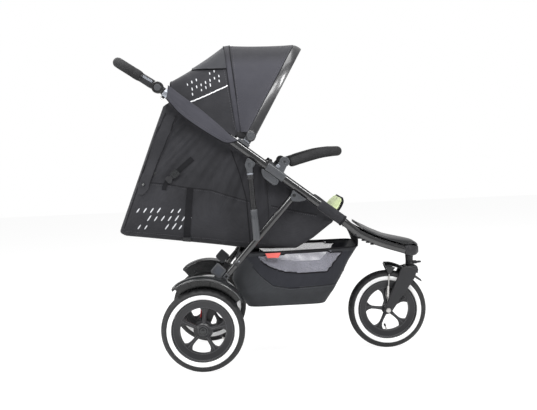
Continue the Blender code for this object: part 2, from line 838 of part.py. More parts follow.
def make_collar(name, side):
    """The knuckle on the lower rail's top end, with the fold barrel and the bumper's mount."""
    start, end = KNUCKLE_AT + GAP, KNUCKLE_AT + COLLAR_LENGTH
    half = COLLAR_HEIGHT / 2
    inner, outer = RAIL_Y - COLLAR_WIDTH / 2, RAIL_Y + COLLAR_WIDTH / 2
    outline = rounded([on_rail(start, -half), on_rail(end - 0.008, -half),
                       on_rail(end, -half + 0.006), on_rail(end, half - 0.006),
                       on_rail(end - 0.008, half), on_rail(start, half)], 0.002)
    collar = side_plate(name, outline, side, inner, outer)
    relief = cross_bar("relief", *FOLD_PIVOT, side * (inner - 0.01), side * (outer + 0.01),
                       BARREL_RADIUS + 0.0008)
    collar = carved(collar, relief)
    barrel = cross_bar("barrel", *FOLD_PIVOT, side * (RAIL_Y - 0.0045), side * (RAIL_Y + 0.0045),
                       BARREL_RADIUS)
    root = rail_box("root", side, KNUCKLE_AT + 0.0015, KNUCKLE_AT + 0.016, 0.008,
                    KNUCKLE_ABOVE + 0.002, RAIL_Y - 0.0045, RAIL_Y + 0.0045)
    hole = cross_bar("hole", *FOLD_PIVOT, side * (RAIL_Y - 0.03), side * (RAIL_Y + 0.03),
                     FOLD_PIN_RADIUS + GAP, 10)
    collar = carved(joined(collar, barrel, root), hole)
    post = side_plate(
        "post",
        [on_rail(BUMPER_AT - 0.017, half - 0.004), on_rail(BUMPER_AT + 0.019, half - 0.004),
         on_rail(BUMPER_AT + 0.012, BUMPER_ABOVE), on_rail(BUMPER_AT - 0.012, BUMPER_ABOVE)],
        side, RAIL_Y + 0.001, RAIL_Y + 0.011)
    hub = cross_bar("hub", *BUMPER_PIVOT, side * (RAIL_Y + 0.001), side * (RAIL_Y + 0.011),
                    BUMPER_HUB_RADIUS)
    pin = cross_bar("pin", *BUMPER_PIVOT, side * (RAIL_Y - 0.0085), side * (RAIL_Y + 0.005),
                    CANOPY_PIN_RADIUS, 10)
    settle(joined(collar, post, hub, pin), "chassis", "grey_plastic")


def make_upper_rail(name, side):
    """The rail from the handle hub to the fold knuckle's cheeks and pin."""
    hub_inner = RAIL_Y + 0.0005
    hub_outer = RAIL_Y + 0.0125
    start = on_rail(HANDLE_HUB_RADIUS + 0.003)
    end = on_rail(KNUCKLE_AT - GAP)
    rail = oval_tube("rail", [(start[0], side * RAIL_Y, start[1]), (end[0], side * RAIL_Y, end[1])],
                     RAIL_WIDTH, RAIL_HEIGHT)
    neck = rail_box("neck", side, 0.004, 0.040, -0.010, 0.010, hub_inner, hub_outer - 0.003)
    hub = cross_bar("hub", *HANDLE_HINGE, side * hub_inner, side * hub_outer, HANDLE_HUB_RADIUS, 20)
    rail = joined(rail, neck, hub)
    recess = cross_bar("recess", *HANDLE_HINGE, side * (hub_outer - BUTTON_TRAVEL - 0.003),
                       side * (hub_outer + 0.02), BUTTON_RADIUS + GAP, 20)
    rail = carved(rail, recess)
    cheeks = []
    for inner, outer in ((RAIL_INNER_Y, RAIL_Y - 0.0048), (RAIL_Y + 0.0048, RAIL_OUTER_Y)):
        cheeks.append(cross_bar("cheek", *FOLD_PIVOT, side * inner, side * outer, BARREL_RADIUS))
        cheeks.append(rail_box("web", side, KNUCKLE_AT - 0.014, KNUCKLE_AT - 0.0008, 0.005,
                               KNUCKLE_ABOVE, inner + 0.0004, outer - 0.0004))
    relief = cross_bar("relief", *FOLD_PIVOT, side * (RAIL_Y - 0.0048), side * (RAIL_Y + 0.0048),
                       BARREL_RADIUS + 0.0008)
    rail = carved(joined(rail, *cheeks), relief)
    pin = cross_bar("pin", *FOLD_PIVOT, side * (RAIL_INNER_Y + 0.001), side * (RAIL_OUTER_Y - 0.001),
                    FOLD_PIN_RADIUS, 10)
    rail = joined(rail, pin)
    rail.name = name
    settle(rail, "upper_frame", "black_paint")


def make_fold_latch(name, side):
    """The sliding catch under the collar that reaches back under the upper rail."""
    top = -COLLAR_HEIGHT / 2 - GAP
    outline = rounded(
        [on_rail(KNUCKLE_AT - 0.009, top), on_rail(KNUCKLE_AT + 0.065, top),
         on_rail(KNUCKLE_AT + 0.068, top - 0.016), on_rail(KNUCKLE_AT + 0.058, top - LATCH_DEPTH),
         on_rail(KNUCKLE_AT + 0.013, top - LATCH_DEPTH + 0.002),
         on_rail(KNUCKLE_AT - 0.004, top - 0.012)],
        0.005)
    settle(side_plate("fold_latch_" + name, outline, side, RAIL_Y - 0.011, RAIL_Y + 0.011),
           "fold_latch_" + name, "grey_plastic")


# Handle


def handle_point(distance, y, lift=0.0):
    """A point out along the handle from its hinge."""
    return Vector((HANDLE_HINGE[0] + distance * math.cos(HANDLE_ANGLE)
                   + lift * math.sin(HANDLE_ANGLE), y,
                   HANDLE_HINGE[1] + distance * math.sin(HANDLE_ANGLE)
                   - lift * math.cos(HANDLE_ANGLE)))


def handle_path():
    """The U of the handle, from the left arm round to the right."""
    half = smooth_path(
        [
            handle_point(GRIP_START, RAIL_Y - 0.006),
            handle_point(GRIP_START + 0.055, RAIL_Y - 0.012),
            handle_point(GRIP_END - 0.034, RAIL_Y - 0.030),
            handle_point(GRIP_END - 0.012, RAIL_Y - 0.072),
            handle_point(GRIP_END - 0.003, RAIL_Y - 0.145),
            handle_point(GRIP_END, 0.0),
        ],
        2,
    )
    return mirrored_path(half)


def make_handle():
    path = handle_path()
    bar = tube("handlebar", path, GRIP_CORE_RADIUS, 2)
    for _, side in SIDES:
        inner, outer = RAIL_Y + GAP - HANDLE_ARM_THICKNESS, RAIL_Y
        arm_half = HANDLE_ARM_WIDTH / 2
        points = [handle_point(0.004, 0, arm_half), handle_point(GRIP_START + 0.004, 0, arm_half),
                  handle_point(GRIP_START + 0.004, 0, -arm_half), handle_point(0.004, 0, -arm_half)]
        arm = side_plate("arm", rounded([(p.x, p.z) for p in points], 0.004), side,
                         inner + 0.0006, outer - 0.0006)
        hub = cross_bar("hub", *HANDLE_HINGE, side * inner, side * outer, HANDLE_HUB_RADIUS, 20)
        bar = joined(bar, arm, hub)
    settle(bar, "handle", "black_plastic")
    outer = tube("handle_grip", path, GRIP_RADIUS, 4)
    inner = tube("bore", [2 * path[0] - path[1], *path, 2 * path[-1] - path[-2]],
                 GRIP_CORE_RADIUS + GAP + 0.0003, 2)
    grip = carved(outer, inner)
    for _, side in SIDES:
        points = [handle_point(0.0, 0, 0.03), handle_point(GRIP_START + 0.0045, 0, 0.03),
                  handle_point(GRIP_START + 0.0045, 0, -0.03), handle_point(0.0, 0, -0.03)]
        grip = carved(grip, side_plate("end", [(p.x, p.z) for p in points], side,
                                       RAIL_Y - 0.115, RAIL_Y + 0.065))
    settle(grip, "handle", "foam")


def make_handle_button(name, side):
    face = RAIL_Y + 0.0125 + 0.0012
    base = face - 0.0040
    button = cross_bar("handle_button_" + name, *HANDLE_HINGE, side * base, side * face,
                       BUTTON_RADIUS, 20)
    settle(button, "handle_button_" + name, "grey_plastic")


# Canopy


def arch(base, top, half_width, power):
    """Points over an arch from its left base to its right one, base and top being X and Z."""
    half = []
    for degrees in ARCH_ANGLES:
        angle = math.radians(degrees)
        rise = math.sin(angle) ** (2 / power)
        spread = math.cos(angle) ** (2 / power) if degrees < 90 else 0.0
        half.append(Vector((between(base[0], top[0], rise), half_width * spread,
                            between(base[1], top[1], rise))))
    return mirrored_path(half)


def bow(name, base, top, half_width, power, width, wall):
    """A flat band bent over an arch. Its width lies along the canopy, its wall across."""
    centre = arch(base, top, half_width, power)
    up = (Vector((top[0], 0, top[1])) - Vector((base[0], 0, base[1]))).normalized()
    ahead = Vector((up.z, 0, -up.x))
    rings = []
    for i, point in enumerate(centre):
        before = centre[max(i - 1, 0)]
        after = centre[min(i + 1, len(centre) - 1)]
        out = (after - before).normalized().cross(ahead).normalized()
        edge, face = ahead * width / 2, out * wall / 2
        rings.append([point + edge * 0.7 + face, point + edge - face * 0.2, point + edge - face,
                      point - edge - face, point - edge - face * 0.2, point - edge * 0.7 + face])
    return loft(name, rings)


def mid_base():
    return CANOPY_PIVOT[0] + MID_BOW_FOOT[0], CANOPY_PIVOT[1] + MID_BOW_FOOT[1]


def make_front_bow():
    band = bow("canopy_front_bow", CANOPY_PIVOT, FRONT_BOW_TOP, FRONT_BOW_Y, FRONT_BOW_POWER,
               FRONT_BOW_WIDTH, FRONT_BOW_WALL)
    inner, outer = FRONT_BOW_Y - 0.005, FRONT_BOW_Y + 0.005
    for _, side in SIDES:
        hub = cross_bar("hub", *CANOPY_PIVOT, side * inner, side * outer, CANOPY_HUB_RADIUS, 20)
        band = joined(band, hub)
        hole = cross_bar("hole", *CANOPY_PIVOT, side * (inner - 0.02), side * (outer + 0.02),
                         CANOPY_PIN_RADIUS + GAP, 10)
        band = carved(band, hole)
    settle(band, "canopy_front", "black_plastic")


def make_mid_bow():
    base = mid_base()
    band = bow("canopy_middle_bow", base, MID_BOW_TOP, MID_BOW_Y, MID_BOW_POWER, MID_BOW_WIDTH,
               MID_BOW_WALL)
    inner, outer = MID_BOW_Y - 0.0035, MID_BOW_Y + 0.0035
    for _, side in SIDES:
        link = rounded([(base[0] - 0.011, base[1] - 0.004), (base[0] + 0.002, base[1] - 0.010),
                        (CANOPY_PIVOT[0], CANOPY_PIVOT[1] - 0.011),
                        (CANOPY_PIVOT[0], CANOPY_PIVOT[1] + 0.011),
                        (base[0] + 0.009, base[1] + 0.016), (base[0] - 0.012, base[1] + 0.010)],
                       0.003)
        hub = cross_bar("hub", *CANOPY_PIVOT, side * inner, side * outer, 0.013, 12)
        band = joined(band, side_plate("link", link, side, inner, outer), hub)
        hole = cross_bar("hole", *CANOPY_PIVOT, side * (inner - 0.02), side * (outer + 0.02),
                         CANOPY_PIN_RADIUS + GAP, 10)
        band = carved(band, hole)
    settle(band, "canopy_middle", "black_plastic")


def make_canopy_clamp(name, side):
    """The clamp that stands on the upper rail and carries both bows on one pin."""
    inner = MID_BOW_Y + 0.0035 + GAP
    outer = FRONT_BOW_Y - 0.005 - GAP
    top = RAIL_HEIGHT / 2 + GAP
    base = rail_box("base", side, CANOPY_AT - 0.030, CANOPY_AT + 0.016, top, top + 0.010,
                    RAIL_INNER_Y + 0.001, RAIL_OUTER_Y - 0.001)
    outline = [on_rail(CANOPY_AT - 0.018, top + 0.006), on_rail(CANOPY_AT + 0.012, top + 0.006),
               on_rail(CANOPY_AT + 0.012, CANOPY_ABOVE), on_rail(CANOPY_AT - 0.010, CANOPY_ABOVE)]
    post = side_plate("post", outline, side, inner, outer)
    hub = cross_bar("hub", *CANOPY_PIVOT, side * inner, side * outer, CANOPY_HUB_RADIUS - 0.002)
    pin = cross_bar("pin", *CANOPY_PIVOT, side * (MID_BOW_Y - 0.003), side * (FRONT_BOW_Y + 0.0045),
                    CANOPY_PIN_RADIUS, 10)
    clamp = joined(base, post, hub, pin)
    clamp.name = name
    settle(clamp, "upper_frame", "grey_plastic")


def canopy_edge():
    """The canopy's rear edge: up along one rail, across behind the head and down the other."""
    side_y = RAIL_Y - 0.001
    half = []
    side_points = 6
    for i in range(side_points):
        x, z = on_rail(between(CANOPY_SIDE_START, CANOPY_SIDE_END, i / (side_points - 1)),
                       CANOPY_SIDE_ABOVE)
        half.append(Vector((x, side_y, z)))
    x, z = CANOPY_REAR_TOP
    for across, drop in ((0.97, 0.018), (0.84, 0.008), (0.52, 0.002), (0.0, 0.0)):
        half.append(Vector((x, side_y * across, z - drop)))
    return mirrored_path(half)


def canopy_cloth(name, first, last, trims, sag):
    """A curved panel ruled between two lines of points, kept clear of each by its trim."""
    steps = 5
    rows = []
    for step in range(steps + 1):
        t = step / steps
        row = []
        for a, b in zip(first, last):
            run = (b - a).normalized()
            point = (a + run * trims[0]).lerp(b - run * trims[1], t)
            middle = Vector((point.x, 0, CANOPY_PIVOT[1]))
            row.append(point - (point - middle).normalized() * sag * 4 * t * (1 - t))
        rows.append(row)
    return sheet(name, rows, CANOPY_CLOTH, 0.0)


def make_canopy_cloth():
    front = arch(CANOPY_PIVOT, FRONT_BOW_TOP, FRONT_BOW_Y, FRONT_BOW_POWER)[1:-1]
    middle = arch(mid_base(), MID_BOW_TOP, MID_BOW_Y, MID_BOW_POWER)[1:-1]
    trims = (MID_BOW_WIDTH / 2 + 0.0032, FRONT_BOW_WIDTH / 2 + 0.0022)
    panel = canopy_cloth("canopy_front_panel", middle, front, trims, 0.006)
    settle(panel, "canopy_middle", "grey_cloth")
    panel = canopy_cloth("canopy_rear_panel", middle, canopy_edge(), (trims[0], 0.0), 0.004)
    settle(panel, "upper_frame", "black_cloth")


SKIRT_OUTLINE = [(-0.085, 1.008), (-0.020, 0.948), (0.060, 0.874), (0.123, 0.820),
                 (0.144, 0.808), (0.120, 0.800), (0.094, 0.806), (0.019, 0.849),
                 (-0.045, 0.886), (-0.080, 0.908), (-0.088, 0.930)]


def make_skirt(name, side):
    """The leaf-shaped flap that covers the rail beside the canopy."""
    outline = smooth_outline(SKIRT_OUTLINE, 2)
    settle(side_plate(name, outline, side, RAIL_OUTER_Y + GAP, RAIL_OUTER_Y + 0.0032),
           "upper_frame", "grey_cloth")


def smooth_outline(points, steps):
    """A closed outline through points, rounded between them."""
    flat = [(x, 0.0, z) for x, z in points]
    path = smooth_path([flat[-1], *flat, flat[0]], steps)
    return [(p.x, p.z) for p in path[steps:-1]]


# Bumper bar


def make_bumper():
    x, z = BUMPER_PIVOT
    arm_y = RAIL_Y - 0.0087
    half = smooth_path(
        [
            (x + 0.010, arm_y, z - 0.001),
            (x + 0.026, arm_y - 0.004, z - 0.002),
            (x + 0.070, arm_y - 0.022, z + 0.010),
            (x + 0.130, arm_y - 0.030, z + 0.024),
            (x + BUMPER_REACH - 0.026, arm_y - 0.052, z + 0.029),
            (x + BUMPER_REACH - 0.008, arm_y - 0.098, z + 0.029),
            (x + BUMPER_REACH, 0.0, z + 0.029),
        ],
        2,
    )
    path = mirrored_path(half)
    bar = tube("bumper_bar", path, BUMPER_CORE_RADIUS, 2)
    inner, outer = RAIL_Y - 0.0105, RAIL_Y + 0.0007
    for _, side in SIDES:
        bar = joined(bar, cross_bar("hub", x, z, side * inner, side * outer, BUMPER_HUB_RADIUS))
        hole = cross_bar("hole", x, z, side * (inner - 0.02), side * (outer + 0.02),
                         CANOPY_PIN_RADIUS + GAP, 10)
        bar = carved(bar, hole)
    settle(bar, "bumper", "black_plastic")
    padded = path[3:-3]
    outer_foam = tube("bumper_grip", padded, BUMPER_FOAM_RADIUS, 3)
    inner_foam = tube("bore", path, BUMPER_CORE_RADIUS + GAP + 0.0003, 2)
    settle(carved(outer_foam, inner_foam), "bumper", "foam")


# Front end


def slab_ring(x, half_width, bottom, top, crown):
    """A section across the stroller with a crowned top and soft edges."""
    edge = half_width
    return [
        (x, edge - 0.004, bottom), (x, edge, bottom + 0.003), (x, edge - 0.001, top - 0.004),
        (x, edge * 0.8, top), (x, 0.0, top + crown), (x, -edge * 0.8, top),
        (x, -edge + 0.001, top - 0.004), (x, -edge, bottom + 0.003), (x, -edge + 0.004, bottom),
        (x, 0.0, bottom),
    ]


def make_footplate():
    """The foot rest that lies on the lower rails and runs out over the nose."""
    over = RAIL_HEIGHT / 2 / SLOPE_COS
    bends = bend_points()
    crowns = (0.002, 0.003, 0.003, 0.004)
    thick = (0.009, 0.011, 0.009, 0.019)
    bends[0] = tuple(between(a, b, FOOTPLATE_START) for a, b in zip(bends[0], bends[1]))
    rings = []
    for (x, y, z), crown, wall in zip(bends, crowns, thick):
        base = z + over + 0.001
        rings.append(slab_ring(x + 0.004, max(y + 0.006, 0.03), base, base + wall, crown))
    nose_base = RAIL_END_HEIGHT + over + 0.001
    rings.append(slab_ring(HEAD_X + 0.008, RAIL_END_Y - 0.008, nose_base, nose_base + 0.011,
                           0.004))
    rings.append(slab_ring(HEAD_X + 0.028, RAIL_END_Y - 0.024, nose_base - 0.008,
                           nose_base - 0.001, 0.003))
    settle(loft("footplate", rings), "chassis", "glossy_plastic")


def make_nose():
    """The casting that joins both lower rails and holds the steering head."""
    start = HEAD_X - RAIL_END_BEFORE_HEAD + GAP
    top = RAIL_END_HEIGHT + RAIL_HEIGHT / 2 / SLOPE_COS + 0.001 - GAP
    rings = [
        slab_ring(start, RAIL_END_Y + 0.012, HEAD_TOP + 0.006, top, 0.0),
        slab_ring(start + 0.020, RAIL_END_Y + 0.006, HEAD_TOP, top, 0.0),
        slab_ring(start + 0.042, RAIL_END_Y - 0.012, HEAD_TOP + 0.001, top - 0.0055, 0.0),
        slab_ring(start + NOSE_LENGTH - 0.006, RAIL_END_Y - 0.036, HEAD_TOP + 0.008, top - 0.010, 0.0),
    ]
    nose = loft("nose_housing", rings)
    socket = cylinder("socket", (HEAD_X, 0, HEAD_TOP - 0.01), (HEAD_X, 0, HEAD_TOP + 0.014),
                      STEM_RADIUS + 0.002, 20)
    settle(carved(nose, socket), "chassis", "black_plastic")


def make_head():
    head = cylinder("head_tube", (HEAD_X, 0, HEAD_BOTTOM), (HEAD_X, 0, HEAD_TOP - GAP),
                    HEAD_RADIUS, 20)
    x, z = LEVER_PIVOT
    for _, side in SIDES:
        low, high = sorted((side * 0.0065, side * 0.0095))
        head = joined(head, box("ear", (x - 0.012, low, z - 0.0055), (x + 0.005, high, z + 0.0055)))
    bore = cylinder("bore", (HEAD_X, 0, HEAD_BOTTOM - 0.1), (HEAD_X, 0, HEAD_TOP + 0.1),
                    STEM_RADIUS + GAP, 20)
    pin_hole = cross_bar("pin_hole", x, z, -0.02, 0.02, 0.002 + GAP, 10)
    settle(carved(head, bore, pin_hole), "chassis", "black_plastic")


def make_lever():
    """The small lever that locks the front wheel's swivel."""
    x, z = LEVER_PIVOT
    outline = rounded([(x - 0.0045, z - 0.004), (x + LEVER_LENGTH, z - 0.0035),
                       (x + LEVER_LENGTH, z + 0.0045), (x - 0.0045, z + 0.004)], 0.003)
    lever = plate("swivel_lock_lever", outline, -0.0062, 0.0062)
    pin = cross_bar("pin", x, z, -0.0092, 0.0092, 0.002, 10)
    settle(joined(lever, pin), "swivel_lock", "black_plastic")


def mudguard_line():
    """The mudguard's middle line, as points from its rear to its front."""
    x, z = FRONT_AXLE
    return smooth_path([(x + dx, 0, z + TYRE_RADIUS + dz) for dx, dz in MUDGUARD_POINTS], 2)


def make_fork():
    """Stem, crown and two blades that reach back to the front axle."""
    guard = [(p.x, p.z) for p in mudguard_line()]
    outer = BLADE_INNER_Y + BLADE_THICKNESS
    guard_top = MUDGUARD_WALL / 2 + 0.001
    under = [(HEAD_X + dx, outline_height(guard, HEAD_X + dx) + guard_top)
             for dx in (-0.019, 0.0, 0.021)]
    crown_outline = rounded([*under, (HEAD_X + 0.025, CROWN_TOP - CROWN_HEIGHT / 2),
                             (HEAD_X + 0.023, CROWN_TOP), (HEAD_X - 0.017, CROWN_TOP)], 0.0015, 1)
    fork = plate("front_fork", crown_outline, -outer + 0.001, outer - 0.001)
    stem = cylinder("stem", (HEAD_X, 0, CROWN_TOP - 0.006), (HEAD_X, 0, HEAD_TOP + 0.008),
                    STEM_RADIUS)
    fork = joined(fork, stem)
    x, z = FRONT_AXLE
    blade = rounded(
        [
            (HEAD_X - 0.036, CROWN_TOP - 0.005),
            (x - 0.011, z + 0.012),
            (x - 0.013, z - 0.004),
            (x - 0.004, z - 0.0135),
            (x + 0.010, z - 0.010),
            (HEAD_X + 0.012, CROWN_TOP - 0.046),
            (HEAD_X + 0.022, CROWN_TOP - 0.016),
            (HEAD_X - 0.004, CROWN_TOP - 0.001),
        ],
        0.006,
    )
    for _, side in SIDES:
        fork = joined(fork, side_plate("blade", blade, side, BLADE_INNER_Y, outer))
    hole = cross_bar("hole", x, z, -0.06, 0.06, AXLE_RADIUS + GAP, 16)
    settle(carved(fork, hole), "fork", "black_plastic")


def make_front_axle():
    x, z = FRONT_AXLE
    outer = BLADE_INNER_Y + BLADE_THICKNESS + GAP
    axle = cross_bar("front_axle", x, z, -outer - 0.001, outer + 0.001, AXLE_RADIUS, 16)
    for _, side in SIDES:
        axle = joined(axle, cross_bar("head", x, z, side * outer, side * (outer + 0.005), 0.0095, 12))
    settle(axle, "fork", "steel")


# Each point is a distance ahead of the front axle and a height over the tyre's top

MUDGUARD_POINTS = ((-0.007, 0.0310), (0.018, 0.0290), (0.052, 0.0165), (0.085, -0.0040),
                   (0.110, -0.0235), (0.132, -0.0415))


def make_mudguard():
    """A thin guard over the front tyre, with a cheek on each side that holds its stay."""
    x, z = FRONT_AXLE
    rows = [[(p.x, y, p.z - 12.0 * y * y) for y in (-0.0295, -0.018, 0.0, 0.018, 0.0295)]
            for p in mudguard_line()]
    guard = sheet("front_mudguard", rows, MUDGUARD_WALL, 0.0)
    drop = 12.0 * 0.0295**2
    for _, side in SIDES:
        over = z + TYRE_RADIUS
        cheek = rounded([(x - 0.007, over + 0.0305 - drop), (x + 0.034, over + 0.0220 - drop),
                         (x + 0.014, over - 0.0115), (x + 0.006, over - 0.0115)], 0.003)
        guard = joined(guard, side_plate("cheek", cheek, side, 0.0265, 0.0293))
    settle(guard, "fork", "black_plastic")


def make_stay(name, side):
    """The steel stay from a mudguard cheek down to the axle."""
    x, z = FRONT_AXLE
    y = side * 0.0279
    radius = 0.0026
    low, mid_low = 0.022, 0.049
    mid_high, high = RIM_INNER_RADIUS + 0.008, TYRE_RADIUS - 0.012
    stay = cylinder(name, (x + 0.001, y, z + low), (x + 0.009, y, z + high), radius, 10)
    clip = box("clip", (x - 0.002, y - radius, z + mid_low), (x + 0.008, y + radius, z + mid_high))
    settle(joined(stay, clip), "fork", "steel")


# Seat, liners and basket

BAG_OUTLINE = [(0.2475, 0.4135), (0.176, 0.417), (0.076, 0.434), (-0.050, 0.452),
               (-0.180, 0.470), (-0.270, 0.482), (-0.291, 0.494), (-0.238, 0.626),
               (-0.190, 0.745), (-0.150, 0.850), (-0.126, 0.925)]
FRONT_OUTLINE = [(0.2483, 0.4135), (0.344, 0.412), (0.405, 0.446), (0.473, 0.498)]
BACK_LINER_X = (-0.250, -0.180, -0.100, -0.020, 0.060, 0.140, 0.200, 0.2465)
SEAT_LINER_X = (0.2495, 0.290, 0.344, 0.405, 0.455)
LIP_POINTS = ((0.484, 0.512), (0.508, 0.530), (0.525, 0.555), (0.532, 0.577), (0.527, 0.593))
LIP_LEANS = (32, 55, 75, 95, 125)
LIP_THICKNESSES = (0.028, 0.044, 0.043, 0.034, 0.016)
BUCKLE_X = 0.300
BAG_REAR_AT = 0.066
SLEEVE_END_AT = 0.770


def u_section(top, bottom, hem_y, phase):
    """A hanging wall, a floor and the other wall, open at the top."""
    length = math.dist(top, bottom)
    fold = BAG_FOLD_DEPTH * math.sin(phase) * min(1.0, length / 0.2)
    half = [
        (hem_y, 0.0),
        (hem_y, min(0.010, 0.2 * length)),
        (BAG_WALL_Y + fold * 0.4, min(0.026, 0.4 * length)),
        (BAG_WALL_Y - 0.002 + fold, 0.45 * length + 0.01),
        (BAG_WALL_Y - 0.008 + fold, 0.72 * length),
        (BAG_WALL_Y - 0.020, 0.92 * length),
        (BAG_BOTTOM_Y, length),
    ]
    down = (Vector(bottom) - Vector(top)).normalized()
    left = [(top[0] + down.x * d, y, top[1] + down.y * d) for y, d in half]
    centre = (top[0] + down.x * (length + 0.006), 0.0, top[1] + down.y * (length + 0.006))
    return left + [centre] + [(x, -y, z) for x, y, z in reversed(left)]


def make_bag(name, outline, start, end, collar_run, above, step, folds, body):
    """A trough of cloth that hangs from both rails, its floor along the outline.

    Its hem keeps clear of the collar over the first part of its run, and of the rail after that.
    """
    bottom = subdivided(outline, step)
    runs = [0.0]
    for a, b in zip(bottom, bottom[1:]):
        runs.append(runs[-1] + math.dist(a, b))
    rows = []
    for point, run in zip(bottom, runs):
        t = run / runs[-1]
        beside = RAIL_Y - COLLAR_WIDTH / 2 if t < collar_run else RAIL_INNER_Y
        hem_y = beside - CLOTH_WALL / 2 - 0.0004
        rows.append(u_section(on_rail(between(start, end, t), above), point, hem_y,
                              folds * math.tau * t))
    return settle(sheet(name, rows, CLOTH_WALL, 0.0), body, "black_cloth")


def outline_height(outline, x):
    """The floor's height at a place along the stroller."""
    for (x0, z0), (x1, z1) in zip(outline, outline[1:]):
        if min(x0, x1) <= x <= max(x0, x1):
            return between(z0, z1, (x - x0) / (x1 - x0))
    raise ValueError("no floor there")


def make_liner(name, outline, stations, body, lip=False):
    """A crowned pad on the seat's floor. A lip turns its front end up and over."""
    lift = CLOTH_WALL / 2 + 0.0006
    rings = []
    for x in stations:
        floor = outline_height(outline, x) + lift
        rings.append(liner_ring(x, floor, 0.0, LINER_THICKNESS))
    if lip:
        for (x, z), lean, thick in zip(LIP_POINTS, LIP_LEANS, LIP_THICKNESSES):
            rings.append(liner_ring(x, z, math.radians(lean), thick))
    settle(loft(name, rings), body, "lime_cloth")


def liner_ring(x, z, lean, thick):
    """A section across a pad: flat under, crowned over, leaning back by an angle."""
    section = [(-1.0, 0.3), (-0.96, 0.0), (-0.5, -0.001 / thick), (0.0, -0.002 / thick),
               (0.5, -0.001 / thick), (0.96, 0.0), (1.0, 0.3), (0.9, 0.72), (0.5, 0.95),
               (0.0, 1.0), (-0.5, 0.95), (-0.9, 0.72)]
    return [(x - math.sin(lean) * up * thick, y * LINER_Y, z + math.cos(lean) * up * thick)
            for y, up in section]


def make_buckle():
    """The harness buckle that lies on the seat liner."""
    x = BUCKLE_X
    z = outline_height(FRONT_OUTLINE, x) + CLOTH_WALL / 2 + 0.0012 + LINER_THICKNESS
    outline = rounded([(x - 0.024, z), (x + 0.024, z), (x + 0.021, z + 0.012), (x - 0.021, z + 0.012)],
                      0.004)
    settle(plate("harness_buckle", outline, -0.019, 0.019), "chassis", "black_plastic")


# Each level is a share of the height, the X of its back and front, and how far its back and
# front corners lie inside the rails

BASKET_LEVELS = ((0.0, 0.160, 0.444, 0.070, 0.085), (0.25, 0.126, 0.478, 0.047, 0.070),
                 (0.51, 0.108, 0.508, 0.038, 0.070), (0.76, 0.119, 0.535, 0.036, 0.075),
                 (1.0, 0.139, 0.570, 0.035, 0.085))


def make_basket():
    """A cloth trough under the seat, open at its top."""
    rows = []
    for rise, back, front, back_inside, front_inside in BASKET_LEVELS:
        z = between(BASKET_FLOOR, BASKET_TOP, rise)
        back_y = RAIL_Y - back_inside
        front_y = RAIL_Y - front_inside
        corners = rounded([(back, -back_y), (front, -front_y), (front, front_y), (back, back_y)],
                          0.05, 3)
        ring = []
        for a, b in zip(corners, corners[1:] + corners[:1]):
            ring.append((a[0], a[1], z))
            if math.dist(a, b) > 0.06:
                ring.append(((a[0] + b[0]) / 2, (a[1] + b[1]) / 2, z - 0.006 * rise))
        rows.append(ring)
    settle(sheet("basket", rows, BASKET_WALL, 0.0, ring=True, floor=True), "chassis", "black_cloth")


def make_basket_strap():
    """The cloth panel that hangs the basket's front edge from the lower rails."""
    x, y, z = bend_points()[0]
    top = z - RAIL_HEIGHT / 2 / SLOPE_COS - GAP
    low = BASKET_TOP + 0.0005
    low_x, low_y = BASKET_LEVELS[-1][2], RAIL_Y - 0.125
    rings = [
        [(low_x - 0.0005, side * low_y, low), (low_x + 0.0025, side * low_y, low),
         (x + 0.003, side * y, top), (x, side * y, top)]
        for side in (1, -1)
    ]
    settle(loft("basket_strap", rings), "chassis", "black_cloth")


clear_scene()
parts = bpy.data.collections.new("stroller")
bpy.context.scene.collection.children.link(parts)
empties = {}
for body_name, body_pivot in BODIES.items():
    empty = bpy.data.objects.new("body_" + body_name, None)
    empty.location = Vector(body_pivot) + Vector((REAR_AXLE_X, 0, 0))
    empty.empty_display_size = 0.03
    parts.objects.link(empty)
    empties[body_name] = empty

make_wheel("front_wheel", "front_wheel", (FRONT_AXLE[0], 0.0, FRONT_AXLE[1]), FRONT_SPOKE_ANGLE, 0)
for side_name, side_sign in SIDES:
    make_wheel("rear_wheel_" + side_name, "rear_wheel_" + side_name,
               (REAR_AXLE[0], side_sign * WHEEL_Y, REAR_AXLE[1]), REAR_SPOKE_ANGLE, -side_sign)
    make_rear_leg("rear_leg_" + side_name, side_sign)
    make_gusset("leg_gusset_" + side_name, side_sign)
    make_fender("fender_" + side_name, side_sign)
    make_socket("accessory_socket_" + side_name, side_sign)
    make_strut(side_name, side_sign)
    make_strut_bracket("strut_bracket_" + side_name, side_sign)
    make_lower_rail("lower_rail_" + side_name, side_sign)
    make_collar("frame_collar_" + side_name, side_sign)
    make_upper_rail("upper_rail_" + side_name, side_sign)
    make_fold_latch(side_name, side_sign)
    make_handle_button(side_name, side_sign)
    make_canopy_clamp("canopy_clamp_" + side_name, side_sign)
    make_skirt("canopy_skirt_" + side_name, side_sign)
    make_stay("mudguard_stay_" + side_name, side_sign)
make_rear_axle()
make_brake()
make_handle()
make_front_bow()
make_mid_bow()
make_canopy_cloth()
make_bumper()
make_footplate()
make_nose()
make_head()
make_lever()
make_fork()
make_front_axle()
make_mudguard()
make_bag("seat_bag", BAG_OUTLINE, KNUCKLE_AT - 0.001, BAG_REAR_AT, 0.10, -0.004, 0.075,
         BAG_FOLD_COUNT, "upper_frame")
make_bag("seat_front", FRONT_OUTLINE, KNUCKLE_AT + 0.0015, SLEEVE_END_AT, 0.46, -0.001, 0.05, 0,
         "chassis")
make_liner("back_liner", BAG_OUTLINE, BACK_LINER_X, "upper_frame")
make_liner("seat_liner", FRONT_OUTLINE, SEAT_LINER_X, "chassis", lip=True)
make_buckle()
make_basket()
make_basket_strap()
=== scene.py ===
"""Looks of the three-wheeled folding stroller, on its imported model.

Shapes are worked out with X measured from the rear axle, as in the part's source, and are moved
to the frame's own origin when a piece is hung on its body.
"""

import math

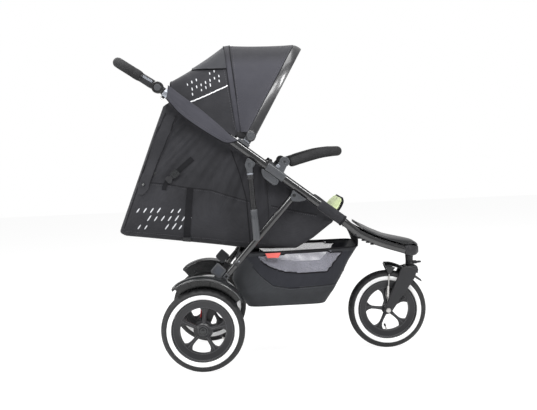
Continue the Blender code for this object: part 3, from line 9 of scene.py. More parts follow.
import bmesh
import bpy
import numpy as np
from mathutils import Matrix, Vector, noise
from mathutils.bvhtree import BVHTree


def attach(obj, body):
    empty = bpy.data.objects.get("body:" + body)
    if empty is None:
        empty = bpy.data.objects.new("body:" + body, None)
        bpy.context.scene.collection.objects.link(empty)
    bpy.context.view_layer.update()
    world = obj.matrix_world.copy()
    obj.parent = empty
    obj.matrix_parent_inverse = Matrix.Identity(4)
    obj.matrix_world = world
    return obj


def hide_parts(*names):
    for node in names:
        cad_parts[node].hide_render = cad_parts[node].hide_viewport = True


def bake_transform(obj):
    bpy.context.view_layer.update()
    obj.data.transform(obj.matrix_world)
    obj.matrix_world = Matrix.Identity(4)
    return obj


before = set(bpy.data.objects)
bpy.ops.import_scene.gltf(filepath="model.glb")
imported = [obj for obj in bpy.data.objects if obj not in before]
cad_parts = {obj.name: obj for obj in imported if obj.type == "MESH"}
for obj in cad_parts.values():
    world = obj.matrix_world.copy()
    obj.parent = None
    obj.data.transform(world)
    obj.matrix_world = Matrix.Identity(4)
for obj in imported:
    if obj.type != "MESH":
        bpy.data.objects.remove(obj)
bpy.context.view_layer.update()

# Sizes shared with the part

REAR_AXLE_X = -0.269
SHIFT = Matrix.Translation((REAR_AXLE_X, 0.0, 0.0))
GAP = 0.0003  # between pieces that touch
RAIL_Y = 0.235
RAIL_SLOPE = math.radians(38.13)
RAIL_COS, RAIL_SIN = math.cos(RAIL_SLOPE), math.sin(RAIL_SLOPE)
RAIL_FACE = 0.0143  # from its middle line to what is mounted over or under it
RAIL_RISE = 0.014 / RAIL_COS  # from its middle line straight up to its upper face
NOSE_Z = 0.375
TYRE_RADIUS = 0.1475
WHEEL_Y = 0.275
HANDLE_HINGE = (-0.122, 1.003)
HANDLE_ANGLE = math.radians(145.5)
SIDES = (("left", 1), ("right", -1))


def on_rail(distance, above=0.0):
    """X and Z of a point down the straight of the rail, measured from the handle hinge."""
    return (HANDLE_HINGE[0] + distance * RAIL_COS + above * RAIL_SIN,
            HANDLE_HINGE[1] - distance * RAIL_SIN + above * RAIL_COS)


FOLD_PIVOT = on_rail(0.470, 0.0225)
LEG_PIVOT = on_rail(0.608, -0.0275)
STRUT_PIVOT = on_rail(0.4176, -0.0332)
CANOPY_PIVOT = on_rail(0.363, 0.054)
BUMPER_PIVOT = on_rail(0.512, 0.0487)
LEG_FOOT = (0.081, 0.322)
STRUT_FOOT = (0.20202, 0.45505)
STRUT_Y = 0.261
HEAD_X = 0.776
FRONT_AXLE = (0.685, TYRE_RADIUS)
REAR_AXLE = (0.0, TYRE_RADIUS)

# Camera

EYE = Vector((0.19625, -3.63600, 0.78087))
YAW, PITCH, ROLL = -0.0152170, -0.0604615, -0.0423209
FOCAL_PIXELS = 965.848
PHOTO_WIDTH = 537
SENSOR_WIDTH = 36.0


def make_camera():
    """The camera, with its place and lens as fitted to the photograph."""
    level = Vector((math.cos(YAW), math.sin(YAW), 0.0))
    ahead = Vector((-math.sin(YAW) * math.cos(PITCH), math.cos(YAW) * math.cos(PITCH),
                    math.sin(PITCH)))
    upright = level.cross(ahead)
    right = math.cos(ROLL) * level + math.sin(ROLL) * upright
    up = -math.sin(ROLL) * level + math.cos(ROLL) * upright
    data = bpy.data.cameras.new("camera")
    data.sensor_width = SENSOR_WIDTH
    data.lens = FOCAL_PIXELS * SENSOR_WIDTH / PHOTO_WIDTH
    item = new_item("camera", data)
    turn = Matrix((right, up, -ahead)).transposed().to_4x4()
    item.matrix_world = Matrix.Translation(SHIFT @ EYE) @ turn
    bpy.context.scene.camera = item


# Mesh helpers


def new_item(name, data):
    item = bpy.data.objects.new(name, data)
    bpy.context.scene.collection.objects.link(item)
    return item


def mesh_item(name, shape):
    mesh = bpy.data.meshes.new(name)
    shape.to_mesh(mesh)
    shape.free()
    return new_item(name, mesh)


def from_bmesh(name, shape, merge=1e-6):
    bmesh.ops.remove_doubles(shape, verts=shape.verts, dist=merge)
    bmesh.ops.recalc_face_normals(shape, faces=shape.faces)
    return mesh_item(name, shape)


def baked(item):
    """The object with its modifiers or curve settings turned into mesh."""
    graph = bpy.context.evaluated_depsgraph_get()
    mesh = bpy.data.meshes.new_from_object(item.evaluated_get(graph))
    mesh.transform(item.matrix_world)
    name = item.name
    bpy.data.objects.remove(item)
    mesh.name = name
    result = new_item(name, mesh)
    result.name = name
    return result


def with_modifier(item, kind, **settings):
    modifier = item.modifiers.new(kind.title(), kind)
    for key, value in settings.items():
        setattr(modifier, key, value)
    return baked(item)


def smoothed(item, levels=1):
    return with_modifier(item, "SUBSURF", levels=levels, render_levels=levels)


def bevelled(item, width):
    return with_modifier(item, "BEVEL", width=width, segments=2, limit_method="ANGLE",
                         angle_limit=math.radians(35))


def thickened(item, wall):
    return with_modifier(item, "SOLIDIFY", thickness=wall, offset=0.0, use_even_offset=True)


def merged(name, *items):
    """One object made of several."""
    shape = bmesh.new()
    for item in items:
        shape.from_mesh(item.data)
        bpy.data.objects.remove(item)
    return mesh_item(name, shape)


def grid(name, rows, ring=False, caps=False):
    """A surface over rows of points."""
    shape = bmesh.new()
    verts = [[shape.verts.new(p) for p in row] for row in rows]
    count = len(rows[0])
    for row, after in zip(verts, verts[1:]):
        for i in range(count if ring else count - 1):
            j = (i + 1) % count
            shape.faces.new((row[i], row[j], after[j], after[i]))
    if caps:
        shape.faces.new(verts[0])
        shape.faces.new(verts[-1])
    return from_bmesh(name, shape)


def loft(name, rings, levels=0):
    item = grid(name, rings, ring=True, caps=True)
    return smoothed(item, levels) if levels else item


def cloth(name, rows, wall, levels=0):
    """A thin shell over rows of points."""
    item = grid(name, rows)
    return thickened(smoothed(item, levels) if levels else item, wall)


def plate(name, outline, low, high, bevel):
    """A flat piece with an outline of X and Z and round edges. More outlines cut holes."""
    curve = bpy.data.curves.new(name, "CURVE")
    curve.dimensions = "2D"
    curve.fill_mode = "BOTH"
    curve.extrude = (high - low) / 2 - bevel
    curve.bevel_depth = bevel
    curve.bevel_resolution = 2
    curve.offset = -bevel
    outlines = outline if isinstance(outline[0][0], (tuple, Vector)) else [outline]
    for points in outlines:
        spline = curve.splines.new("POLY")
        spline.points.add(len(points) - 1)
        for point, place in zip(spline.points, points):
            point.co = (place[0], place[1], 0, 1)
        spline.use_cyclic_u = True
    item = new_item(name, curve)
    item.matrix_world = (Matrix.Translation((0, (high + low) / 2, 0))
                         @ Matrix.Rotation(math.radians(90), 4, "X"))
    bpy.context.view_layer.update()
    return baked(item)


def side_plate(name, outline, side, inner, outer, bevel):
    low, high = sorted((side * inner, side * outer))
    return plate(name, outline, low, high, bevel)


def rail_plate(name, outline, side, inner, outer, bevel):
    """A plate whose two faces are given from the rail's middle plane."""
    return side_plate(name, outline, side, RAIL_Y + inner, RAIL_Y + outer, bevel)


def tube(name, points, radius, radii=None, resolution=2):
    """A round tube through points. radii scale its radius at each point."""
    curve = bpy.data.curves.new(name, "CURVE")
    curve.dimensions = "3D"
    curve.bevel_depth = radius
    curve.bevel_resolution = resolution
    curve.use_fill_caps = True
    spline = curve.splines.new("POLY")
    spline.points.add(len(points) - 1)
    for i, (point, place) in enumerate(zip(spline.points, points)):
        point.co = (*place, 1)
        point.radius = radii[i] if radii else 1.0
    return baked(new_item(name, curve))


def section(origin, across, up, half_width, half_height, power=2.0, count=20):
    """A ring of points on a rounded box or ellipse."""
    ring = []
    for i in range(count):
        angle = math.tau * (i + 0.5) / count
        c, s = math.cos(angle), math.sin(angle)
        ring.append(origin
                    + across * half_width * math.copysign(abs(c) ** (2 / power), c)
                    + up * half_height * math.copysign(abs(s) ** (2 / power), s))
    return ring


def directions(points):
    """The way that a line runs at each of its points."""
    last = len(points) - 1
    return [(points[min(i + 1, last)] - points[max(i - 1, 0)]).normalized()
            for i in range(last + 1)]


def oval_tube(name, points, count):
    """A tube of the rail's oval section, whose width stays level."""
    points = [Vector(p) for p in points]
    rings = []
    for point, run in zip(points, directions(points)):
        across = Vector((0, 0, 1)).cross(run).normalized()
        rings.append(section(point, across, run.cross(across), 0.010, 0.014, 2.2, count))
    return loft(name, rings)


def revolve(name, profile, centre, steps, ring=False):
    """A solid turned about an axis across the stroller. The profile is radius and offset."""
    verts = []
    shape = bmesh.new()
    for i in range(steps):
        angle = math.tau * i / steps
        verts.append([shape.verts.new((centre[0] + r * math.cos(angle), centre[1] + y,
                                       centre[2] + r * math.sin(angle))) for r, y in profile])
    count = len(profile)
    for i in range(steps):
        row, after = verts[i], verts[(i + 1) % steps]
        for j in range(count if ring else count - 1):
            k = (j + 1) % count
            shape.faces.new((row[j], row[k], after[k], after[j]))
    return from_bmesh(name, shape, 1e-7)


def turned(name, profile, side, centre, steps=48, ring=False):
    """A solid of revolution whose profile is given for the left side."""
    return revolve(name, [(r, side * y) for r, y in profile], centre, steps, ring)


def knob(name, place, side, inner, outer, radius, edge=0.0015, dish=0.0, steps=48):
    """A round boss across the stroller with soft edges, its outer face dished if asked."""
    profile = [(0.0, inner), (radius - edge, inner), (radius, inner + edge),
               (radius, outer - edge), (radius - edge * 0.3, outer - edge * 0.3),
               (radius - edge, outer)]
    if dish:
        profile += [(radius * 0.72, outer), (radius * 0.68, outer - dish), (0.0, outer - dish)]
    else:
        profile += [(0.0, outer)]
    return turned(name, profile, side, (place[0], 0.0, place[1]), steps)


def smooth_path(points, steps):
    """Points along a smooth curve through the given ones."""
    points = [Vector(p) for p in points]
    padded = [2 * points[0] - points[1], *points, 2 * points[-1] - points[-2]]
    path = []
    for before, start, end, after in zip(padded, padded[1:], padded[2:], padded[3:]):
        for step in range(steps):
            t = step / steps
            path.append(0.5 * (2 * start + (end - before) * t
                               + (2 * before - 5 * start + 4 * end - after) * t**2
                               + (3 * start - before - 3 * end + after) * t**3))
    return path + [points[-1]]


def mirrored(half):
    return half + [Vector((p[0], -p[1], p[2])) for p in reversed(half[:-1])]


def rounded(points, radius, steps=4):
    """An outline with its corners rounded."""
    result = []
    for i, point in enumerate(points):
        corner = Vector(point)
        before = Vector(points[i - 1]) - corner
        after = Vector(points[(i + 1) % len(points)]) - corner
        reach = min(radius, before.length * 0.45, after.length * 0.45)
        start = corner + before.normalized() * reach
        end = corner + after.normalized() * reach
        for step in range(steps + 1):
            t = step / steps
            result.append(tuple(start * (1 - t) ** 2 + corner * 2 * t * (1 - t) + end * t**2))
    return result


def corners(start, end, low, high):
    """The four corners of a rectangle."""
    return [(start, low), (end, low), (end, high), (start, high)]


def around(centre, places):
    """Places that are given from a centre, in X and Z."""
    return [(centre[0] + x, centre[1] + z) for x, z in places]


def rail_shape(places, radius):
    """An outline with round corners, in distances down the rail and heights above it."""
    return rounded([on_rail(*place) for place in places], radius)


def between(a, b, t):
    return a + (b - a) * t


def along(start, end, distance, aside=0.0):
    """X and Z of a point on the way from start to end, aside to the right of the way."""
    run = (Vector(end) - Vector(start)).normalized()
    return (start[0] + run.x * distance + run.y * aside,
            start[1] + run.y * distance - run.x * aside)


def table_value(pairs, key):
    """A value between the rows of a table, by straight lines."""
    return float(np.interp(key, *zip(*pairs)))


# Materials

GRAIN_SCALES = {"moulded": 1100.0, "rubber": 520.0, "paint": 160.0}
THREAD_SCALES = {"weave": 190.0, "webbing": 110.0}


def add_node(tree, kind, inputs=(), **settings):
    """A shader node. Its inputs are values, or other nodes' sockets to link."""
    node = tree.nodes.new("ShaderNode" + kind)
    for key, value in settings.items():
        setattr(node, key, value)
    for key, value in dict(inputs).items():
        if isinstance(value, bpy.types.NodeSocket):
            tree.links.new(value, node.inputs[key])
        else:
            node.inputs[key].default_value = value
    return node


def surface(name, colour, roughness, metallic=0.0, grain="moulded", bump=0.15, spread=0.12,
            wear_and_highlight=0.0, sheen=0.0, coat=0.0, specular=0.5, painted_shade_above=None):
    """A finish with patches of colour, uneven roughness, a grain in relief and lighter edges,
    partly wear and partly a painted highlight.

    The last argument is a low and a high height and how dark the cloth is at the high one: a
    painted shade that darkens the cloth towards the top.
    """
    material = bpy.data.materials.new(name)
    material.use_nodes = True
    tree = material.node_tree
    shader = tree.nodes["Principled BSDF"]
    for key, value in (("Metallic", metallic), ("Sheen Weight", sheen), ("Sheen Roughness", 0.4),
                       ("Coat Weight", coat), ("Coat Roughness", 0.08),
                       ("Specular IOR Level", specular)):
        shader.inputs[key].default_value = value
    where = add_node(tree, "TexCoord").outputs["Object"]

    def node(kind, output, inputs, **settings):
        return add_node(tree, kind, inputs, **settings).outputs[output]

    def cloud(scale, detail=4.0):
        return node("TexNoise", "Fac", {"Vector": where, "Scale": scale, "Detail": detail})

    def bands(direction, scale):
        return node("TexWave", "Fac", {"Vector": where, "Scale": scale, "Distortion": 0.4,
                                       "Detail Scale": 0.3}, bands_direction=direction)

    def maths(operation, a, b):
        return node("Math", 0, {0: a, 1: b}, operation=operation)

    def mixed(share, a, b, blend="MIX"):
        return node("Mix", 2, {0: share, 6: a, 7: b}, data_type="RGBA", blend_type=blend)

    def ramp(value, stops):
        item = add_node(tree, "ValToRGB", {"Fac": value})
        for element, (place, shade) in zip(item.color_ramp.elements, stops):
            element.position = place
            element.color = (*shade, 1)
        return item.outputs["Color"]

    base = ramp(cloud(7.0), ((0.3, [c * (1 - spread) for c in colour]),
                             (0.7, [min(1.0, c * (1 + spread)) for c in colour])))
    if grain in THREAD_SCALES:
        scale = THREAD_SCALES[grain]
        threads = maths("ADD", bands("X", scale), bands("Z", scale))
        height = maths("MULTIPLY", maths("ADD", threads, bands("Y", scale)), 0.5)
        base = mixed(0.35, base, ramp(height, ((0.0, [0.55] * 3), (1.0, [1.0] * 3))), "MULTIPLY")
    elif grain == "foam":
        cells = node("TexVoronoi", "Distance", {"Vector": where, "Scale": 620.0})
        height = maths("ADD", cells, cloud(240.0, 6.0))
    elif grain == "brushed":
        height = maths("ADD", bands("Z", 900.0), cloud(300.0))
    else:
        height = cloud(GRAIN_SCALES[grain], 3.0)

    # Painted shade: from the low height up to the high one, the cloth is mixed towards near black.
    if painted_shade_above:
        low, high, darkness = painted_shade_above
        rise = node("SeparateXYZ", "Z", {0: where})
        fade = node("MapRange", "Result", {"From Min": low, "From Max": high, "To Max": darkness,
                                           "Value": rise}, interpolation_type="SMOOTHSTEP")
        base = mixed(fade, base, (0.018, 0.018, 0.021, 1))
    # Sharp edges painted lighter: partly wear, partly a painted highlight.
    if wear_and_highlight:
        point = node("NewGeometry", "Pointiness", {})
        edge = node("MapRange", "Result", {"From Min": 0.52, "From Max": 0.62, "To Max": wear_and_highlight,
                                           "Value": point})
        base = mixed(maths("MULTIPLY", edge, cloud(60.0)), base,
                     (*[min(1.0, c * 2.2 + 0.05) for c in colour], 1))
    uneven = node("MapRange", "Result", {"To Min": max(0.03, roughness * 0.82),
                                         "To Max": min(1.0, roughness * 1.18),
                                         "Value": cloud(34.0, 6.0)})
    relief = node("Bump", "Normal", {"Strength": bump, "Distance": 0.0006, "Height": height})
    for key, value in (("Base Color", base), ("Roughness", uneven), ("Normal", relief)):
        tree.links.new(value, shader.inputs[key])
    return material


WOVEN = {"roughness": 0.85, "grain": "weave", "bump": 0.35, "specular": 0.3}
LOOKS = {
    "paint": surface("gloss_black_paint", (0.006, 0.006, 0.007), 0.20, 0.0, "paint", 0.02,
                     coat=0.6, wear_and_highlight=0.2, specular=0.7),
    "bow": surface("bow_gloss_black", (0.012, 0.012, 0.014), 0.30, 0.0, "paint", 0.0, coat=0.5,
                   specular=0.9),
    "black": surface("moulded_black", (0.013, 0.013, 0.015), 0.42, bump=0.12, wear_and_highlight=0.3),
    "satin": surface("satin_black", (0.013, 0.014, 0.015), 0.26, bump=0.05, coat=0.25, wear_and_highlight=0.25),
    "grey": surface("moulded_grey", (0.060, 0.063, 0.069), 0.38, bump=0.14, wear_and_highlight=0.3, spread=0.08),
    "slate": surface("ribbed_inset", (0.060, 0.068, 0.085), 0.5, bump=0.1),
    "rim": surface("rim_nylon", (0.014, 0.014, 0.016), 0.34, bump=0.08, wear_and_highlight=0.35),
    # A lighter copy of the rim's colour for its ribs and beads: a painted highlight.
    "ridge": surface("rim_ridge", (0.034, 0.034, 0.037), 0.36, bump=0.05, wear_and_highlight=0.4),
    "tyre": surface("tyre_rubber", (0.014, 0.014, 0.015), 0.60, grain="rubber", bump=0.22,
                    spread=0.2),
    "white_wall": surface("white_rubber", (0.90, 0.90, 0.90), 0.5, grain="rubber", bump=0.06,
                          spread=0.03),
    "foam": surface("grip_foam", (0.011, 0.011, 0.012), 0.85, grain="foam", bump=0.5, spread=0.2),
    "steel": surface("bright_steel", (0.62, 0.61, 0.59), 0.28, 1.0, "brushed", 0.05, spread=0.06),
    "silver": surface("silver_trim", (0.36, 0.38, 0.42), 0.3, 0.7, "brushed", 0.05, spread=0.08),
    "bag": surface("bag_cloth", (0.026, 0.026, 0.030), **WOVEN, sheen=0.12, spread=0.22),
    "panel": surface("canopy_cloth", (0.056, 0.056, 0.068), **WOVEN, sheen=0.15),
    # The hood's cloth gets a painted shade, darker over its top.
    "hood": surface("hood_cloth", (0.046, 0.046, 0.056), **WOVEN, sheen=0.15, spread=0.10,
                    painted_shade_above=(1.065, 1.115, 0.75)),
    "strip": surface("canopy_trim_cloth", (0.036, 0.037, 0.042), **WOVEN, sheen=0.12, spread=0.15),
    "basket": surface("basket_cloth", (0.034, 0.036, 0.040), 0.8, grain="weave", bump=0.3,
                      sheen=0.1, spread=0.18, specular=0.3),
    "net_dark": surface("dark_net", (0.017, 0.018, 0.024), 0.7, grain="webbing", bump=0.45,
                        sheen=0.15, specular=0.3),
    "mesh": surface("net_thread", (0.46, 0.46, 0.52), 0.7, grain="webbing", bump=0.2),
    "lime": surface("lime_cloth", (0.72, 0.82, 0.47), 0.8, grain="weave", bump=0.3, sheen=0.2,
                    spread=0.06, specular=0.3),
    "webbing": surface("webbing", (0.009, 0.009, 0.011), 0.75, grain="webbing", bump=0.5,
                       specular=0.2),
    "thread": surface("stitching", (0.085, 0.085, 0.095), 0.6, grain="webbing", bump=0.2),
    "print": surface("reflective_print", (0.62, 0.63, 0.66), 0.45, grain="weave", spread=0.1),
    "piping": surface("reflective_piping", (0.80, 0.80, 0.82), 0.4, grain="webbing", spread=0.04),
    "coral": surface("coral_tab", (0.82, 0.15, 0.13), 0.7, grain="weave", bump=0.25, spread=0.1),
    "red": surface("red_plastic", (0.62, 0.045, 0.05), 0.4, bump=0.08, wear_and_highlight=0.2),
}


# Hanging pieces on their bodies


def piece(item, body, look, replaces=(), slot=None, angle=38):
    """Moves the piece to the frame's origin, finishes it and hangs it on its body."""
    finish_mesh(item, look, angle)
    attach(item, body)
    name_slot(item, replaces, slot)
    return item


def finish_mesh(item, look, angle):
    item.data.transform(SHIFT)
    item.data.materials.clear()
    for key in ([look] if isinstance(look, str) else look):
        item.data.materials.append(LOOKS[key])
    item.data.shade_smooth()
    item.data.set_sharp_from_angle(angle=math.radians(angle))


def name_slot(item, replaces, slot):
    replaces = (replaces,) if isinstance(replaces, str) else replaces
    if replaces:
        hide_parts(*replaces)
    slot or replaces[0]


def paint_faces(item, index, test):
    """Gives the faces that pass the test, on their centre, another of the item's materials."""
    for face in item.data.polygons:
        if test(face.center):
            face.material_index = index


# Wheels

WHITE_BAND = (0.1112, 0.1268)
SHOULDER = (0.1300, 0.1390)
WHEEL_RING = [(0.1093, 0.0150), (0.1090, 0.0166), (0.1076, 0.0174), (0.1060, 0.0168),
              (0.1046, 0.0152), (0.0990, 0.0143), (0.0900, 0.0120), (0.0838, 0.0108),
              (0.0812, 0.0098), (0.0804, 0.0070)]
REAR_BOSS = [(0.0, 0.0205), (0.0120, 0.0205), (0.0165, 0.0200), (0.0182, 0.0185), (0.0184, 0.0130),
             (0.0200, 0.0105), (0.0240, 0.0088), (0.0262, 0.0072)]
FRONT_BOSS = [(0.0, 0.0205), (0.0100, 0.0205), (0.0130, 0.0200), (0.0145, 0.0185),
              (0.0147, 0.0130), (0.0160, 0.0105), (0.0185, 0.0088), (0.0205, 0.0072)]
DRUM = [(0.0, 0.0040), (0.0340, 0.0080), (0.0352, 0.0095), (0.0340, 0.0110), (0.0352, 0.0125),
        (0.0340, 0.0140), (0.0352, 0.0155), (0.0340, 0.0170), (0.0335, 0.0195), (0.0320, 0.0204),
        (0.0, 0.0204)]
HUB_COLLAR = [(0.0150, 0.0196), (0.0150, 0.0214), (0.0172, 0.0208), (0.0172, 0.0190)]
HUB_CAP = [(0.0, 0.0232), (0.0050, 0.0231), (0.0070, 0.0222), (0.0080, 0.0222), (0.0105, 0.0228),
           (0.0128, 0.0222), (0.0140, 0.0206), (0.0140, 0.0190)]


def both_ways(half):
    """A profile and its mirror image on the wheel's other face."""
    return half + [(r, -y) for r, y in reversed(half)]


def make_tyre(body, centre):
    """A tyre with a round crown, staggered shoulder blocks and a white band on each sidewall."""
    profile = both_ways([
        (0.1098, 0.0150), (0.1104, 0.0182), (0.1112, 0.0194), (0.1155, 0.0216),
        (0.1200, 0.0229), (0.1265, 0.0238), (0.1275, 0.0233), (0.1318, 0.0231),
        (0.1362, 0.0216), (0.1400, 0.0190), (0.1432, 0.0155), (0.1456, 0.0105),
        (0.1468, 0.0060), (0.1473, 0.0052), (0.1475, 0.0018), (0.1463, 0.0012)])
    steps = 180
    rows = []
    for i in range(steps):
        angle = math.tau * i / steps
        row = []
        for r, y in profile:
            block = (i + (3 if y > 0 else 0)) % 6
            if SHOULDER[0] < r < SHOULDER[1] and block > 2:
                y += math.copysign(0.0011, y)
            if r > SHOULDER[1] and block < 2 and abs(y) > 0.0055:
                r -= 0.0021
            row.append((centre[0] + r * math.cos(angle), centre[1] + y,
                        centre[2] + r * math.sin(angle)))
        rows.append(row)
    item = grid(body + "_tread", rows + [rows[0]])
    finish_mesh(item, ["tyre", "white_wall"], 50)
    x, z = centre[0] + REAR_AXLE_X, centre[2]
    paint_faces(item, 1, lambda c: WHITE_BAND[0] < math.hypot(c.x - x, c.z - z) < WHITE_BAND[1])
    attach(item, body)
    name_slot(item, body + "_tyre", None)


def make_spoke(centre, angle, slim):
    """A flared spoke with a rounded section, and a rib along each face."""
    radial = Vector((math.cos(angle), 0, math.sin(angle)))
    across = Vector((-radial.z, 0, radial.x))
    level = Vector((0, 1, 0))
    stations = ((0.014, 0.0100, 0.0086), (0.026, 0.0078, 0.0082), (0.042, 0.0066, 0.0072),
                (0.058, 0.0072, 0.0066), (0.068, 0.0098, 0.0066), (0.0755, 0.0160, 0.0070),
                (0.0815, 0.0265, 0.0078), (0.0850, 0.0300, 0.0080))
    rings = [section(Vector(centre) + radial * r, across, level,
                     w * (slim if r < 0.060 else 1.0), h, 3.2, 16) for r, w, h in stations]
    ribs = []
    for face in (1, -1):
        path = [Vector(centre) + radial * r + level * face * (h + 0.0004)
                for r, _, h in stations[1:-1]]
        ribs.append(tube("rib", path, 0.0019, [1.0, 1.0, 1.0, 0.9, 0.8, 0.6], 2))
    return loft("spoke", rings), ribs


def make_wheel(body, centre, spoke_angle, drum_side, valve):
    """A wheel. drum_side is the side of its brake drum, or 0 for none."""
    make_tyre(body, centre)
    parts = [revolve("ring", both_ways(WHEEL_RING), centre, 96, ring=True)]
    ridges = []
    for i in range(5):
        angle = math.radians(spoke_angle + 72 * i)
        arm, ribs = make_spoke(centre, angle, 1.0 if drum_side else 0.82)
        parts.append(arm)
        ridges += ribs
    boss = REAR_BOSS if drum_side else FRONT_BOSS
    parts.append(revolve("boss", both_ways(boss), centre, 60))
    if drum_side:
        parts.append(turned("drum", DRUM, drum_side, centre, 60))
    piece(merged(body + "_wheel", *parts), body, "rim", body + "_rim")
    for radius, y in ((0.1040, 0.0153), (0.0835, 0.0108)):
        bead = [(radius - 0.0009, y - 0.0010), (radius - 0.0009, y + 0.0009),
                (radius + 0.0009, y + 0.0009), (radius + 0.0009, y - 0.0010)]
        ridges += [turned("bead", bead, face, centre, 72, ring=True) for face in (1, -1)]
    if drum_side:
        ridges.append(turned("collar", HUB_COLLAR, -drum_side, centre, 60, ring=True))
    # The ribs, beads and hub collar get the lighter colour, a painted highlight.
    piece(merged(body + "_ridges", *ridges), body, "ridge", slot=body + "_rim")
    if drum_side:
        piece(turned(body + "_hub_cap", HUB_CAP, -drum_side, centre, 60), body, "satin",
              slot=body + "_rim")
    foot, tip = [Vector(centre) + Vector((r * math.cos(math.radians(a)), 0,
                                          r * math.sin(math.radians(a)))) for r, a in valve]
    run = tip - foot
    stem = tube(body + "_valve", [foot + run * t for t in (0, 0.3, 0.3, 0.62, 0.62)], 0.0030,
                [1.2, 1.2, 0.85, 0.85, 0.85], 3)
    cap = tube(body + "_valve_cap", [foot + run * t for t in (0.55, 0.60, 0.94, 1.0)], 0.0038,
               [0.9, 1.0, 1.0, 0.7], 3)
    piece(stem, body, "steel", slot=body + "_rim")
    piece(cap, body, "black", slot=body + "_rim")


make_camera()
make_wheel("front_wheel", (FRONT_AXLE[0], 0.0, FRONT_AXLE[1]), 28.0, 0,
           ((0.0805, -93.0), (0.0584, -101.5)))
for side_name, side in SIDES:
    make_wheel("rear_wheel_" + side_name, (0.0, side * WHEEL_Y, TYRE_RADIUS), 10.5, -side,
               ((0.0805, -26.0), (0.0640, -18.0)))


# Rear legs, axle, fenders and brake

LEG_LENGTH = math.dist(LEG_PIVOT, LEG_FOOT)


def leg_point(distance, y):
    x, z = along(LEG_PIVOT, LEG_FOOT, distance)
    return Vector((x, y, z))


def leg_shape(places, radius):
    """An outline with round corners, in distances past the leg's foot and aside."""
    return rounded([along(LEG_PIVOT, LEG_FOOT, LEG_LENGTH + d, a) for d, a in places], radius)


def make_rear_leg(name, side):
    y = side * RAIL_Y
    step = LEG_LENGTH * 0.82

    def leg_tube(label, stops, radius, radii):
        return tube(label, [leg_point(d, y) for d in stops], radius, radii, 7)

    upper = leg_tube("upper", (0.002, 0.006, step - 0.003, step), 0.0125, [0.9, 1.0, 1.0, 0.94])
    lower = leg_tube("lower", (step - 0.01, LEG_LENGTH - 0.004, LEG_LENGTH), 0.0114,
                     [1.0, 1.0, 0.9])
    eye = knob("eye", LEG_PIVOT, side, RAIL_Y - 0.0124, RAIL_Y + 0.0124, 0.0129)
    piece(merged(name, upper, lower, eye), "rear_legs", "paint", name)
    bits = [knob("bit", leg_point(LEG_LENGTH * share, 0).xz, side, RAIL_Y + 0.0085, RAIL_Y + 0.0136,
                 radius, 0.0006, steps=20) for share, radius in ((0.505, 0.0030), (0.79, 0.0026))]
    piece(merged(name + "_button", *bits), "rear_legs", "silver", slot=name)
    ring = leg_tube(name + "_collar", (step - 0.006, step - 0.004, step + 0.006, step + 0.008),
                    0.0134, [0.93, 1.0, 1.0, 0.86])
    piece(ring, "rear_legs", "black", slot=name)
    clip = leg_shape(corners(-0.020, -0.001, -0.0085, 0.0085), 0.003)
    hole = leg_shape(corners(-0.0155, -0.0055, -0.0042, 0.0042), 0.0015)
    piece(rail_plate(name + "_clip", [clip, hole], side, 0.0060, 0.0134, 0.0007), "rear_legs",
          "grey", slot=name)


def make_gusset(name, side):
    def shape(under_rail, about_pivot, radius):
        return rounded([on_rail(d, h - RAIL_FACE) for d, h in under_rail]
                       + around(LEG_PIVOT, about_pivot), radius)

    outer = shape(((0.594, 0.0), (0.652, 0.0), (0.648, -0.008)),
                  ((0.017, -0.023), (-0.008, -0.021), (-0.014, -0.004)), 0.004)
    bridge = shape(((0.630, 0.0), (0.652, 0.0), (0.648, -0.008)),
                   ((0.0175, -0.0225), (0.0145, -0.022)), 0.002)
    inset = shape(((0.620, -0.0055), (0.642, -0.0055)), ((0.0175, -0.0165), (0.0100, -0.0160)),
                  0.002)
    cheeks = [rail_plate(label, outlines, side, low, high, bevel)
              for label, outlines, low, high, bevel in
              (("cheek", [outer], -0.0165, -0.0130, 0.0008),
               ("cheek", [outer, inset], 0.0130, 0.0165, 0.0008),
               ("floor", [inset], 0.0130, 0.0148, 0.0004),
               ("bridge", [bridge], -0.0132, 0.0132, 0.0008))]
    piece(merged(name + "_clevis", *cheeks), "chassis", "grey", name)
    rivet = knob(name + "_rivet", LEG_PIVOT, side, RAIL_Y + 0.0155, RAIL_Y + 0.0182, 0.0062, 0.001,
                 0.0006, 32)
    piece(rivet, "chassis", "satin", slot=name)


def cross_tube(name, place, ends, radius, radii, resolution):
    """A round tube across the stroller at X and Z."""
    return tube(name, [(place[0], y, place[1]) for y in ends], radius, radii, resolution)


def make_rear_axle():
    parts = [cross_tube("beam", REAR_AXLE, (-0.2475, -0.244, 0.244, 0.2475), 0.012,
                        [0.93, 1, 1, 0.93], 7),
             cross_tube("stub", REAR_AXLE, (-0.289, -0.288, 0.288, 0.289), 0.006,
                        [0.8, 1, 1, 0.8], 4)]
    top_a, top_b = [along(LEG_PIVOT, LEG_FOOT, LEG_LENGTH + GAP, a) for a in (0.0115, -0.0150)]
    outline = rounded([top_a, *around(REAR_AXLE, ((-0.014, 0.004), (-0.006, -0.013),
                                                  (0.014, -0.008))), top_b], 0.008)
    window = leg_shape(((0.030, 0.0052), (0.130, 0.0032), (0.130, -0.0040), (0.030, -0.0075)),
                       0.003)
    for _, side in SIDES:
        parts.append(side_plate("arm", [outline], side, 0.2257, 0.2463, 0.0015))
        parts.append(side_plate("rim", [outline, window], side, 0.2460, 0.2475, 0.0006))
    piece(merged("rear_axle_beam", *parts), "rear_legs", "black", "rear_axle")


